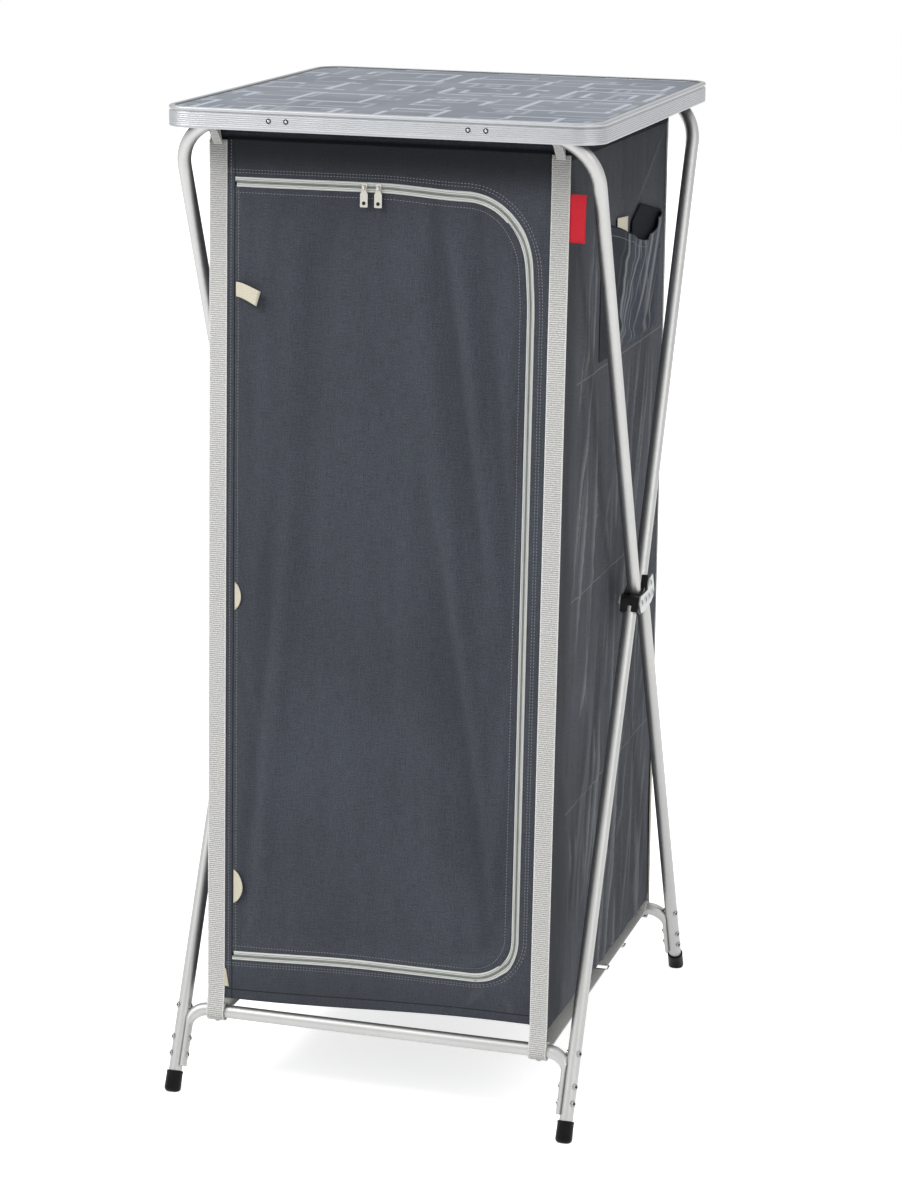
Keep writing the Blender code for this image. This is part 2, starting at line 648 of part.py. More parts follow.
def stadium(radius, start, end, steps, stretch):
    """An arc round the origin whose upper half is moved off by stretch, as on a long loop."""
    points = [Vector(p) for p in arc(0, 0, radius, start, end, steps)]
    return [tuple(p + stretch if p.dot(stretch) > 0 else p) for p in points]


def looped_outline(radius, thickness, tail, stretch=Vector((0, 0)), steps=16):
    """Webbing round a bar at the origin, with a tail that leaves it along the given points."""
    half = thickness / 2
    ring = radius + thickness
    leave = degrees(atan2(tail[0][1], tail[0][0]))
    spread = degrees(atan2(half, ring))
    outline = stadium(ring, leave + spread, leave + 360 - spread, steps, stretch)
    points = [Vector((0, 0))] + [Vector(p) for p in tail]
    near, far = [], []
    for i in range(1, len(points)):
        before = (points[i] - points[i - 1]).normalized()
        after = (points[min(i + 1, len(points) - 1)] - points[i]).normalized() or before
        along = (before + after).normalized()
        across = Vector((-along.y, along.x)) * half / along.dot(before)
        near.append(tuple(points[i] - across))
        far.append(tuple(points[i] + across))
    return outline + near + far[::-1]


def webbing_ring():
    """Radius of the inside of webbing that wraps a bar."""
    return (TUBE_RADIUS + GAP) / cos(pi / 16)


def bore_outline(stretch=Vector((0, 0))):
    return stadium(webbing_ring(), 0, 337.5, 15, stretch)


def bar_drop(x):
    """How far down its hoop the top bar's bend has come at a distance from the middle."""
    inside = max(x - (TUBE_X - BAR_BEND), 0)
    return BAR_BEND - sqrt(BAR_BEND ** 2 - inside ** 2)


def upright_straps():
    """Straps on the cabinet's corners, each hung from the top bar by a narrow loop sewn to it.
    The loop sits where the bar begins to bend, so it is longer than the bar is thick."""
    out = CLOTH / 2 + GAP + WEBBING / 2
    low_y = CROSSBAR_Y + webbing_ring() + 1.5 * WEBBING + GAP
    turn_z = CABINET_BOTTOM + STRAP_TURN
    tail_z = STRAP_TOP - HANGER_OVERLAP
    high_drop = bar_drop(STRAP_X - HANGER_WIDTH / 2)
    low_drop = bar_drop(STRAP_X + HANGER_WIDTH / 2) + HANGER_SLACK
    for row, face in (("front", -1), ("rear", 1)):
        up = Vector((face * sin(UPPER_LEAN), cos(UPPER_LEAN)))
        ring = Vector((face * BAR_Y, BAR_Z)) - up * low_drop
        stretch = up * (low_drop - high_drop)
        points = [(face * low_y, CROSSBAR_Z), (face * (half_depth(turn_z) + out), turn_z),
                  (face * (half_depth(STRAP_TOP) + out), STRAP_TOP)]
        tail = Vector((face * (half_depth(tail_z) + out), tail_z)) - ring
        loop = looped_outline(webbing_ring(), HANGER_THICKNESS, [tuple(tail)], stretch)
        for side, sign in SIDES:
            place = Matrix.Translation((sign * STRAP_X, 0, 0))
            name = f"{row}_{side}_strap"
            mesh = ribbon_mesh(name, points, WEBBING_WIDTH, WEBBING)
            mesh.transform(place)
            strap = solid(name, mesh, WEB_CLOTH)
            bar = place @ Matrix.Translation((0, ring.x, ring.y))
            outlines = [loop, bore_outline(stretch)]
            hanger = plate_mesh("hanger", outlines, HANGER_WIDTH, bar @ STAND_YZ)
            cut(strap, cutter(f"{name}_hanger", hanger), "UNION")


def base_straps():
    """Webbing round each crossbar that runs in under the cabinet to a hook in the middle."""
    level = BASE_STRAP_Z - CROSSBAR_Z
    half = BUCKLE_LENGTH / 2 + GAP
    ends = (("front", LOWER_FRONT, 1, HOOK_Y - half), ("rear", LOWER_REAR, -1, HOOK_Y + half))
    for row, parent, inwards, end in ends:
        tail = [(inwards * BASE_STRAP_RISE, level), (end + inwards * CROSSBAR_Y, level)]
        outline = looped_outline(webbing_ring(), WEBBING, tail)
        for side, sign in SIDES:
            name = f"{row}_{side}_base_strap"
            spot = Matrix.Translation((sign * STRAP_X, -inwards * CROSSBAR_Y, CROSSBAR_Z))
            mesh = plate_mesh(name, [outline, bore_outline()], WEBBING_WIDTH, spot @ STAND_YZ)
            keep_place(solid(name, mesh, WEB_CLOTH), parent)


def buckle_mesh(name, bars):
    """A flat metal frame with cross bars, lying in the XY plane."""
    half_x, half_y = WEBBING_WIDTH / 2 + BUCKLE_OVERHANG, BUCKLE_LENGTH / 2
    outlines = [rounded([(-half_x, -half_y), (half_x, -half_y), (half_x, half_y),
                         (-half_x, half_y)], 0.003, 3)]
    slot_x = half_x - BUCKLE_WALL
    slot = (2 * half_y - BUCKLE_WALL * (bars + 1)) / bars
    for number in range(bars):
        low = -half_y + BUCKLE_WALL + number * (slot + BUCKLE_WALL)
        outlines.append([(-slot_x, low), (slot_x, low), (slot_x, low + slot), (-slot_x, low + slot)])
    return plate_mesh(name, outlines, BUCKLE_THICKNESS, Matrix.Identity(4))


def base_strap_metal():
    under = BASE_STRAP_Z - WEBBING / 2 - GAP - BUCKLE_THICKNESS / 2
    for kind, y, z, bars in (("hook", HOOK_Y, BASE_STRAP_Z, 1), ("buckle", BUCKLE_Y, under, 2)):
        for side, sign in SIDES:
            name = f"{side}_base_strap_{kind}"
            mesh = buckle_mesh(name, bars)
            mesh.transform(Matrix.Translation((sign * STRAP_X, y, z)))
            keep_place(solid(name, mesh, NICKEL), LOWER_REAR)


def on_front(height):
    """Height along the leaning front cloth of a point at a height above the floor."""
    return (height - CABINET_BOTTOM) / cos(CABINET_LEAN)


def zip_path(offset, start=HEM_X, steps=8):
    """Outline round the door at a distance outside the zip's middle, as (x, height)."""
    top, bottom = on_front(ZIP_TOP), on_front(ZIP_BOTTOM)
    upper = arc(ZIP_RIGHT - ZIP_TOP_CORNER, top - ZIP_TOP_CORNER, ZIP_TOP_CORNER + offset,
                90, 0, steps)
    lower = arc(ZIP_RIGHT - ZIP_BOTTOM_CORNER, bottom + ZIP_BOTTOM_CORNER,
                ZIP_BOTTOM_CORNER + offset, 0, -90, steps)
    return [(start, top + offset)] + upper + lower + [(start, bottom - offset)]


def front_panel():
    """Front cloth with the door's opening."""
    half, height = CABINET_WIDTH / 2, on_front(CABINET_TOP)
    edge = [(-half, 0), (half, 0), (half, height), (-half, height)]
    panel = outline_curve("front_panel", [edge, zip_path(ZIP_HALF + GAP, HEM_X - GAP)], CLOTH)
    panel.matrix_local = STAND_XZ
    add(panel, CANVAS, FRONT_FACE)


def zip_tapes():
    """Two bands that meet on the zip's middle line: one on the front cloth, one on the door."""
    for name, near, far in (("front_zip_tape", GAP / 2, ZIP_HALF),
                            ("door_zip_tape", -GAP / 2, -ZIP_HALF)):
        band = zip_path(near) + list(reversed(zip_path(far)))
        tape = outline_curve(name, [band], 1.5 * CLOTH)
        tape.matrix_local = STAND_XZ
        add(tape, ZIP_CLOTH, FRONT_FACE)


def cloth_mesh(name, columns, rows, place):
    """A sheet of cloth: place gives the point for a share along each side."""
    made = bmesh.new()
    bmesh.ops.create_grid(made, x_segments=columns, y_segments=rows, size=0.5)
    for vertex in made.verts:
        vertex.co = place(round((vertex.co.x + 0.5) * columns), round((vertex.co.y + 0.5) * rows))
    mesh = bpy.data.meshes.new(name)
    made.to_mesh(mesh)
    made.free()
    obj = bpy.data.objects.new(name, mesh)
    wall = obj.modifiers.new("wall", "SOLIDIFY")
    wall.thickness = CLOTH
    wall.offset = 0
    wall.use_even_offset = True
    return mesh_of(obj)


def door_flap():
    """Door cloth inside the zip, with soft upright folds."""
    columns, middle_rows, corner_rows = 12, 8, 4
    inside = ZIP_HALF + GAP
    top, bottom = on_front(ZIP_TOP) - inside, on_front(ZIP_BOTTOM) + inside
    high, low, right = ZIP_TOP_CORNER - inside, ZIP_BOTTOM_CORNER - inside, ZIP_RIGHT - inside
    corner = [1 - cos(pi / 2 * i / corner_rows) for i in range(corner_rows + 1)]
    straight = top - high - bottom - low
    heights = [bottom + low * c for c in corner]
    heights += [bottom + low + straight * i / middle_rows for i in range(1, middle_rows)]
    heights += [top - high * c for c in reversed(corner)]

    def place(i, j):
        h = heights[j]
        radius, edge = (low, h - bottom) if h < bottom + low else (high, top - h)
        inset = radius - sqrt(max(radius ** 2 - max(radius - edge, 0) ** 2, 0))
        u, v = i / columns, (h - bottom) / (top - bottom)
        x = HEM_X + (right - inset - HEM_X) * u
        hold = (sin(pi * u) ** 0.5) * (sin(pi * v) ** 0.4 if 0 < v < 1 else 0)
        wave = 0.5 + 0.5 * sin(2 * pi * (2.5 * u + 0.2 * sin(5 * v)))
        return Vector((x, -DOOR_FOLD_DEPTH * hold * wave, h))

    mesh = cloth_mesh("door_flap", columns, len(heights) - 1, place)
    solid("door_flap", mesh, CANVAS, FRONT_FACE)


def half_depth(height):
    """Half of the cabinet's depth at a height."""
    share = (height - CABINET_BOTTOM) / CABINET_HEIGHT
    return (CABINET_DEPTH_BOTTOM + (CABINET_DEPTH_TOP - CABINET_DEPTH_BOTTOM) * share) / 2


SEAMS = (CABINET_BOTTOM + CLOTH,) + SHELF_HEIGHTS + (CABINET_TOP - CLOTH - GAP,)
SEAM_ROWS = 4


def row_height(row):
    """Height of a row of a wall's cloth, whose seams fall on rows, and its billow from 0 to 1."""
    bay = min(row // SEAM_ROWS, len(SEAMS) - 2)
    share = row / SEAM_ROWS - bay
    low, high = SEAMS[bay], SEAMS[bay + 1]
    return low + (high - low) * share, sin(pi * share) ** 0.8 if 0 < share < 1 else 0.0


def side_out(y_share, billow, height):
    """How far a side's cloth stands out: upright folds that die away at seams and corners."""
    hold = max(sin(pi * y_share), 0) ** 0.6
    wave = 0.5 + 0.5 * sin(2 * pi * (3.2 * y_share + 0.35 * sin(4.1 * height)))
    return FOLD_DEPTH * billow * hold * wave


def side_panels():
    columns, rows = 14, SEAM_ROWS * (len(SEAMS) - 1)
    for name, side in (("left_panel", -1), ("right_panel", 1)):
        def place(i, j, side=side):
            z, billow = row_height(j)
            reach = half_depth(z) - CLOTH / 2 - GAP - CLOTH
            u = i / columns
            y = (2 * u - 1) * reach
            behind_pocket = side > 0 and y > POCKET_FRONT - POCKET_MARGIN and (
                POCKET_BOTTOM < z < POCKET_TOP + POCKET_MARGIN + FOLD_DEPTH)
            out = CABINET_WIDTH / 2 - CLOTH / 2
            if not behind_pocket:
                out += side_out(u, billow, z)
            return Vector((side * out, y, z))
        solid(name, cloth_mesh(name, columns, rows, place), CANVAS)


def rear_panel():
    columns, rows = 12, SEAM_ROWS * (len(SEAMS) - 1)

    def place(i, j):
        z, billow = row_height(j)
        u = i / columns
        inner = min(max((i - 1) / (columns - 2), 0), 1)
        hold = max(sin(pi * inner), 0) ** 0.6
        wave = 0.5 + 0.5 * sin(2 * pi * (2.6 * u + 0.3 * sin(3.7 * z)))
        out = half_depth(z) + 0.7 * FOLD_DEPTH * billow * hold * wave
        return Vector(((2 * u - 1) * CABINET_WIDTH / 2, out, z))

    solid("rear_panel", cloth_mesh("rear_panel", columns, rows, place), CANVAS)


def level_panel(name, height, thickness, surface=CANVAS):
    """A level cloth-covered panel inside the walls."""
    x = CABINET_WIDTH / 2 - CLOTH - GAP
    y = half_depth(height) - CLOTH / 2 - GAP - CLOTH
    low, high = height - thickness / 2, height + thickness / 2
    solid(name, box_mesh(name, (-x, -y, low), (x, y, high)), surface, shaded=False)


def level_panels():
    names = ("lower_shelf", "middle_shelf", "upper_shelf")
    for name, height in zip(names, SHELF_HEIGHTS):
        level_panel(name, height, SHELF_THICKNESS)
    level_panel("floor_panel", CABINET_BOTTOM + SHELF_THICKNESS, SHELF_THICKNESS)
    half, depth = CABINET_WIDTH / 2, half_depth(CABINET_TOP) - CLOTH / 2 - GAP
    low = (-half, -depth, CABINET_TOP - CLOTH)
    solid("roof_panel", box_mesh("roof_panel", low, (half, depth, CABINET_TOP)), CANVAS, shaded=False)


def zip_sliders():
    """Two sliders on the top run, each with a bail that carries its pull."""
    front = CLOTH * 0.75 + GAP
    bail_out = front + SLIDER_THICKNESS - 0.3 * BAIL_WALL + BAIL_OPENING / 2
    for name, side in (("left", -1), ("right", 1)):
        x, height = SLIDER_X + side * SLIDER_SPACING / 2, on_front(ZIP_TOP)
        shield = rounded([(-0.5 * SLIDER_WIDTH, 0.5 * SLIDER_HEIGHT),
                          (-0.36 * SLIDER_WIDTH, -0.5 * SLIDER_HEIGHT),
                          (0.36 * SLIDER_WIDTH, -0.5 * SLIDER_HEIGHT),
                          (0.5 * SLIDER_WIDTH, 0.5 * SLIDER_HEIGHT)], 0.0015, 3)
        middle = -(front + SLIDER_THICKNESS / 2)
        place = Matrix.Translation((x, middle, height))
        body = plate_mesh("body", [shield], SLIDER_THICKNESS, place @ STAND_XZ)
        slider = solid(f"{name}_zip_slider", body, NICKEL, FRONT_FACE)
        half = BAIL_OPENING / 2
        outer = half + BAIL_WALL
        rim = rounded([(outer, -outer), (outer, outer), (-outer, outer), (-outer, -outer)], 0.001, 2)
        hole = [(half, -half), (half, half), (-half, half), (-half, -half)]
        bail_place = Matrix.Translation((x, -bail_out, height))
        bail = plate_mesh("bail", [rim, hole], BAIL_WIDTH, bail_place @ STAND_YZ)
        cut(slider, cutter(f"{name}_bail", bail, FRONT_FACE), "UNION")
        zip_pull(f"{name}_zip_pull", x, bail_out, height)


def zip_pull(name, x, out, height):
    """Flat tab with a round hole, hung on a bail by its top bar."""
    half, top = PULL_WIDTH / 2, PULL_BAR / 2
    slot_x = BAIL_WIDTH / 2 + 2 * GAP
    slot_low = -(BAIL_OPENING / 2 + BAIL_WALL + 3 * GAP)
    waist, shoulder = slot_x + PULL_BAR, slot_low - PULL_SHOULDER
    corners = [(-waist, top), (-waist, slot_low - PULL_BAR), (-half, shoulder),
               (-half, top - PULL_LENGTH), (half, top - PULL_LENGTH),
               (half, shoulder), (waist, slot_low - PULL_BAR), (waist, top)]
    slot = [(-slot_x, -top), (slot_x, -top), (slot_x, slot_low), (-slot_x, slot_low)]
    hole = arc(0, top - PULL_LENGTH + half, PULL_HOLE, 0, 330, 11)
    pivot = bpy.data.objects.new(f"{name}_axis", None)
    pivot.location = (x, -out, height)
    pivot.empty_display_size = 0.01
    CUPBOARD.objects.link(pivot)
    pivot.parent = FRONT_FACE
    mesh = plate_mesh(name, [rounded(corners, 0.001, 2), slot, hole], PULL_THICKNESS)
    solid(name, mesh, NICKEL, pivot)


def side_tag():
    """Bare red tag sewn into the front right corner."""
    x = CABINET_WIDTH / 2 + GAP
    low = (x, -CLOTH / 2, on_front(TAG_BOTTOM))
    high = (x + TAG_WIDTH, CLOTH / 2, on_front(TAG_TOP))
    solid("side_tag", box_mesh("side_tag", low, high), RED_CLOTH, FRONT_FACE, False)


def side_pocket():
    """Gathered pocket on the right side, open at its top."""
    columns, rows = 14, 6
    wall = CABINET_WIDTH / 2 + GAP + CLOTH / 2

    def place(i, j):
        u, v = i / columns, j / rows
        y = POCKET_FRONT + (POCKET_REAR - POCKET_FRONT) * u
        mouth = POCKET_TOP + POCKET_FRONT_RISE * (1 - u) - POCKET_SAG * sin(pi * u * u)
        z = POCKET_BOTTOM + (mouth - POCKET_BOTTOM) * v
        gather = 0.90 + 0.10 * sin(2 * pi * 3 * u + 1.3)
        bulge = POCKET_BULGE * max(sin(pi * u), 0) ** 0.45 * sin(pi / 2 * v) ** 0.8
        return Vector((wall + bulge * gather, y, z))

    solid("side_pocket", cloth_mesh("side_pocket", columns, rows, place), CANVAS)


def build():
    worktop_edge()
    worktop_board()
    worktop_clips()
    upper_frame("upper_front_frame", UPPER_FRONT, False)
    upper_frame("upper_rear_frame", UPPER_REAR, True)
    for side, sign in SIDES:
        tube_fitting(f"upper_front_{side}_fitting", UPPER_FRONT, sign, INNER_BARREL_RADIUS, SKIRT_REACH)
        tube_fitting(f"upper_rear_{side}_fitting", UPPER_REAR, sign, INNER_BARREL_RADIUS,
                     LOCK_SKIRT_REACH, True)
    knuckle_plates()
    lower_frame("front", LOWER_FRONT)
    lower_frame("rear", LOWER_REAR)
    front_panel()
    zip_tapes()
    door_flap()
    zip_sliders()
    side_panels()
    rear_panel()
    level_panels()
    side_pocket()
    side_tag()
    upright_straps()
    base_straps()
    base_strap_metal()


build()
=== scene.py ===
from math import atan2, cos, dist, hypot, pi, radians, sin, sqrt, tan

import bpy
import bmesh
from mathutils import Matrix, Vector


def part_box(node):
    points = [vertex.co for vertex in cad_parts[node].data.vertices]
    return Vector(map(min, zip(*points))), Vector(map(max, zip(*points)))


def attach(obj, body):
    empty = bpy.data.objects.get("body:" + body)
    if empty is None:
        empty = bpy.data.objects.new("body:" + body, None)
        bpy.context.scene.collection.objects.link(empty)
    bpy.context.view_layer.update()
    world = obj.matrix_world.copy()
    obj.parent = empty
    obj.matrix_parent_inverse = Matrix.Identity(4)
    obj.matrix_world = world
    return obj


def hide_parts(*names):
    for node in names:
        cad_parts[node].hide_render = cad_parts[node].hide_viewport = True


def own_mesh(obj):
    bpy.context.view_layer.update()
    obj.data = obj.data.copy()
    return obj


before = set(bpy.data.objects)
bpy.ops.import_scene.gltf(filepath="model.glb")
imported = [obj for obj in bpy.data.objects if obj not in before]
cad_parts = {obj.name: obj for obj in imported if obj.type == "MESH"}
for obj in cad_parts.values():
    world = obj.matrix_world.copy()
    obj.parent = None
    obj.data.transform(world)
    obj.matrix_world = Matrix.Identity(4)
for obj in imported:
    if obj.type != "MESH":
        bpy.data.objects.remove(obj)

bl_info = {
    "name": "Folding camping cupboard",
    "version": (1, 0, 0),
    "blender": (4, 5, 0),
    "location": "3D View > Sidebar > Cupboard",
    "description": "Dresses a folding camping cupboard: frame, worktop, cloth cabinet and trim",
    "category": "Object",
}

# Metres, X to the right, Y to the rear, Z up from the floor
MERGE = 1e-5
SIDES = (("left", -1), ("right", 1))
ROWS = (("front", -1), ("rear", 1))

# Frame
MOULDED_EASE = 0.0005           # eased edges of moulded pieces
PRESSED_EASE = 0.0004           # and of pressed ones
CAST_EASE = 0.00025             # and of the zip's small castings
CORNER_RADIUS = 0.040           # of the worktop
CLIP_X = 0.136
EDGE_RIVET_Z = 1.3746
EDGE_RIVET_APART = 0.024
TUBE_RADIUS = 0.0095
TUBE_X = 0.287
TUBE_START = 0.0064
BAR_BEND = 0.075
BAR_Y = 0.3112
BAR_Z = 1.3712
PIN_Z = 0.687
PIN_INNER_Y = 0.0105
PIN_OUTER_Y = 0.0335
LOCK_REACH = 0.0197             # locking rivet from the upper rear pin
FOOT_Y = 0.3574
CROSSBAR_Z = 0.109
CROSSBAR_BEND = 0.025
CROSSBAR_END_Z = 0.033
CRUSHED_SHARE = 0.45
CRUSHED_SINK = 0.0030
CAP_LENGTH = 0.029
CAP_RADIUS = 0.0118
CAP_END = 0.0018                # how far a cap's end stands past its leg
LEG_RIVETS = 0.110, 0.069, 0.048        # heights of a leg's rivets
LEG_RIVET_TURN = radians(32)            # of their outer heads, towards the front
UPPER_LEAN = atan2(BAR_Y - PIN_INNER_Y, BAR_Z - PIN_Z)
UPPER_LENGTH = hypot(BAR_Y - PIN_INNER_Y, BAR_Z - PIN_Z)
LOWER_LEAN = atan2(FOOT_Y - PIN_OUTER_Y, PIN_Z)
LEG_LENGTH = PIN_Z / cos(LOWER_LEAN)
CROSSBAR_Y = PIN_OUTER_Y + (PIN_Z - CROSSBAR_Z) * tan(LOWER_LEAN)

# Camera, with its angles in degrees
CAMERA_PLACE = (1.2714, -4.3378, 1.8139)
CAMERA_YAW, CAMERA_PITCH, CAMERA_ROLL = 16.19, 14.34, 0.79

# Cabinet
cloth_low, cloth_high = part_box("front_panel")
roof_low, roof_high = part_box("roof_panel")
CLOTH = 0.0012
GAP = 0.0003
CABINET_HALF = cloth_high.x
CABINET_TOP = cloth_high.z
CABINET_BOTTOM = cloth_low.z
HALF_DEPTH_TOP = roof_high.y + GAP + CLOTH / 2
HALF_DEPTH_BOTTOM = -cloth_low.y - CLOTH / 2
SHELF_HEIGHTS = (0.427, 0.727, 1.027)
CABINET_LEAN = atan2(HALF_DEPTH_BOTTOM - HALF_DEPTH_TOP, CABINET_TOP - CABINET_BOTTOM)
FRONT_HEIGHT = (CABINET_TOP - CABINET_BOTTOM) / cos(CABINET_LEAN)
HEM_X = -0.2125
ZIP_RIGHT = 0.2000
ZIP_TOP_CORNER = 0.092
ZIP_BOTTOM_CORNER = 0.062
ZIP_HALF = 0.0066
ZIP_TOP = (1.288 - CABINET_BOTTOM) / cos(CABINET_LEAN)
ZIP_BOTTOM = (0.205 - CABINET_BOTTOM) / cos(CABINET_LEAN)
ZIP_RUN = ZIP_RIGHT - ZIP_TOP_CORNER - HEM_X
FOOT_RISE = 0.0150              # how much higher the foot's front right corner hangs
FOOT_DROP = 0.0100              # how much lower the foot's rear edge hangs
WALL_TOP = CABINET_TOP - 0.0015
WALL_BOTTOM = CABINET_BOTTOM + 0.0012
WALL_TALL = WALL_TOP - WALL_BOTTOM
WALL_INSET = 0.0021             # of a side wall's edges from the front and the rear
UNDER_BAND = 1.331              # where the walls lie close, under the roof's band
POCKET_FULLNESS = 1.12          # the pocket's cut against its place on the wall
POCKET_BACK_Y = 0.0635           # where the pocket's back, a sheet in painted shade, begins
POCKET_BACK_Z = 1.150
POCKET_BACK_WIDE = 0.189
STRAP_X = 0.2365
STRAP_SLACK = 0.0200            # how far the base straps hang below their taut line
STRAP_TOP = 1.341
WEBBING_WIDTH = 0.025


def moved(x, y, z):
    return Matrix.Translation((x, y, z))


def turned(angle, axis):
    return Matrix.Rotation(angle, 4, axis)


# Frames whose Z runs along a tube from its pin, and the front cloth's own frame, in which
# x goes to the right, y up the cloth and z out of it
UPPER_FRONT = moved(0, -PIN_INNER_Y, PIN_Z) @ turned(UPPER_LEAN, "X")
UPPER_REAR = moved(0, PIN_INNER_Y, PIN_Z) @ turned(-UPPER_LEAN, "X")
LOWER_FRONT = moved(0, -PIN_OUTER_Y, PIN_Z) @ turned(pi - LOWER_LEAN, "X")
LOWER_REAR = moved(0, PIN_OUTER_Y, PIN_Z) @ turned(LOWER_LEAN - pi, "X")
FRONT_CLOTH = moved(0, -HALF_DEPTH_BOTTOM, CABINET_BOTTOM) @ turned(pi / 2 - CABINET_LEAN, "X")
LAID_FLAT = FRONT_CLOTH.inverted()


def tone(code):
    """Linear colour of a hex code."""
    parts = [int(code[i:i + 2], 16) / 255 for i in (1, 3, 5)]
    return tuple(c / 12.92 if c <= 0.04045 else ((c + 0.055) / 1.055) ** 2.4 for c in parts)


def colour(name, description, code):
    return bpy.props.FloatVectorProperty(name=name, description=description, subtype="COLOR",
                                         size=3, min=0, max=1, default=tone(code))


def number(name, description, default, **limits):
    return bpy.props.FloatProperty(name=name, description=description, default=default, **limits)


def length(name, description, default):
    return number(name, description, default, unit="LENGTH", min=0, precision=4)


def fraction(name, description, default):
    return number(name, description, default, subtype="FACTOR", min=0, max=1)


def power(name, description, default):
    return number(name, description, default, unit="POWER", min=0)


def whole(name, description, default):
    return bpy.props.IntProperty(name=name, description=description, default=default, min=1)


class CupboardFrameSettings(bpy.types.PropertyGroup):
    """Sizes and colours of the metal frame."""
    aluminium: colour("Aluminium", "Colour of the satin tube", "#bbbbba")
    steel: colour("Plate steel", "Colour of the knuckle plates and rivets", "#b3b6b5")
    plastic: colour("Plastic", "Colour of the fittings and foot caps", "#0a0a0b")
    sides: whole("Tube sides", "Faces round a tube", 28)
    rivet: length("Rivet head", "Radius of a rivet head on the legs", 0.0040)


class CupboardWorktopSettings(bpy.types.PropertyGroup):
    """Sizes and colours of the worktop."""
    board: colour("Board", "Ground colour of the laminate", "#5d6674")
    lines: colour("Lines", "Colour of the printed outlines", "#a3aab5")
    edge: colour("Edge", "Colour of the aluminium edge", "#aeb0b3")
    reeds: whole("Reeds", "Number of reeds on the edge's face", 6)
    cell: length("Print size", "Size of the largest printed rectangles", 0.165)
    line_width: length("Line width", "Width of a printed line", 0.0068)


class CupboardClothSettings(bpy.types.PropertyGroup):
    """Sizes and colours of the cloth."""
    canvas: colour("Canvas", "Colour of the cabinet's cloth", "#42464e")
    thread: colour("Thread", "Colour of the sewing thread", "#96989b")
    # Painted highlight: the colour that the crests of creased cloth are lightened towards.
    crest: colour("Crests", "Colour of the cloth where it is creased", "#a0a3a5")
    tab: colour("Tie tabs", "Colour of the beige tabs", "#e0d9c4")
    tag: colour("Tag", "Colour of the bare side tag", "#cc2434")
    thickness: length("Cloth thickness", "Thickness of the canvas", 0.0008)
    weave: length("Weave pitch", "Distance between two threads of the canvas", 0.0011)
    side_fullness: fraction("Side fullness", "Extra width of the side cloths", 0.035)
    door_fullness: fraction("Door fullness", "Extra width of the door cloth", 0.024)


class CupboardTrimSettings(bpy.types.PropertyGroup):
    """Sizes and colours of the webbing and the zip."""
    webbing: colour("Webbing", "Colour of the straps", "#e7e6e3")
    tape: colour("Zip tape", "Colour of the zip's tape", "#dfe1dc")
    coil: colour("Zip coil", "Colour of the zip's teeth", "#969d98")
    metal: colour("Zip metal", "Colour of sliders, pulls and buckles", "#c6c4bc")
    rib: length("Rib pitch", "Distance between two ribs of the webbing", 0.0029)
    webbing_thickness: length("Webbing thickness", "Thickness of the straps", 0.0014)


class CupboardStageSettings(bpy.types.PropertyGroup):
    """Camera, light and floor."""
    lens: number("Lens", "Focal length of the camera", 96.5, unit="CAMERA")
    floor: colour("Floor", "Colour of the floor", "#f4f4f4")
    key_power: power("Key light", "Power of the key light", 96)
    fill_power: power("Fill light", "Power of the fill light", 34)
    top_power: power("Top light", "Power of the overhead light", 16)


# Shader nodes

def link(source, target):
    target.id_data.links.new(source, target)


def fill(node, inputs):
    """Feeds a node; inputs maps a socket's name or number to a value or to another socket."""
    for key, value in inputs.items():
        if isinstance(value, bpy.types.NodeSocket):
            link(value, node.inputs[key])
        else:
            node.inputs[key].default_value = value


def put(tree, kind, inputs=None, **settings):
    """A new node with its settings, fed by its inputs."""
    made = tree.nodes.new(kind)
    for key, value in settings.items():
        setattr(made, key, value)
    fill(made, inputs or {})
    return made


def tree_of(*values):
    """The node tree of the sockets among some values."""
    return next(v for v in values if isinstance(v, bpy.types.NodeSocket)).id_data


def maths(operation, *values):
    return put(tree_of(*values), "ShaderNodeMath", dict(enumerate(values)),
               operation=operation).outputs[0]


def times(a, b):
    return maths("MULTIPLY", a, b)


def times_plus(a, b, c):
    return maths("MULTIPLY_ADD", a, b, c)


def wave(a):
    return maths("SINE", a)


def larger(a, b):
    return maths("MAXIMUM", a, b)


def apart(a, b):
    return maths("ABSOLUTE", maths("SUBTRACT", a, b))


def vector_maths(operation, *values):
    node = put(tree_of(*values), "ShaderNodeVectorMath", dict(enumerate(values)),
               operation=operation)
    return node.outputs["Value" if operation == "LENGTH" else "Vector"]


def scaled(place, by):
    return put(place.id_data, "ShaderNodeVectorMath", {0: place, "Scale": by},
               operation="SCALE").outputs[0]


def parts_of(place):
    return put(place.id_data, "ShaderNodeSeparateXYZ", {0: place}).outputs


def mixed(factor, low, high, blend="MIX"):
    """Colour between two colours."""
    def full(value):
        return value if isinstance(value, bpy.types.NodeSocket) else (*value, 1)
    return put(tree_of(factor, low, high), "ShaderNodeMix",
               {0: factor, 6: full(low), 7: full(high)}, data_type="RGBA",
               blend_type=blend).outputs[2]


def between(value, low, high, to_low=0.0, to_high=1.0, smooth=True):
    limits = {"Value": value, "From Min": low, "From Max": high, "To Min": to_low,
              "To Max": to_high}
    return put(tree_of(value), "ShaderNodeMapRange", limits,
               interpolation_type="SMOOTHSTEP" if smooth else "LINEAR").outputs["Result"]


def noise(place, scale, detail=2.0, roughness=0.5, stretch=None):
    if stretch:
        inputs = {"Vector": place, "Scale": stretch}
        place = put(place.id_data, "ShaderNodeMapping", inputs).outputs[0]
    inputs = {"Vector": place, "Scale": scale, "Detail": detail, "Roughness": roughness}
    return put(place.id_data, "ShaderNodeTexNoise", inputs).outputs["Fac"]


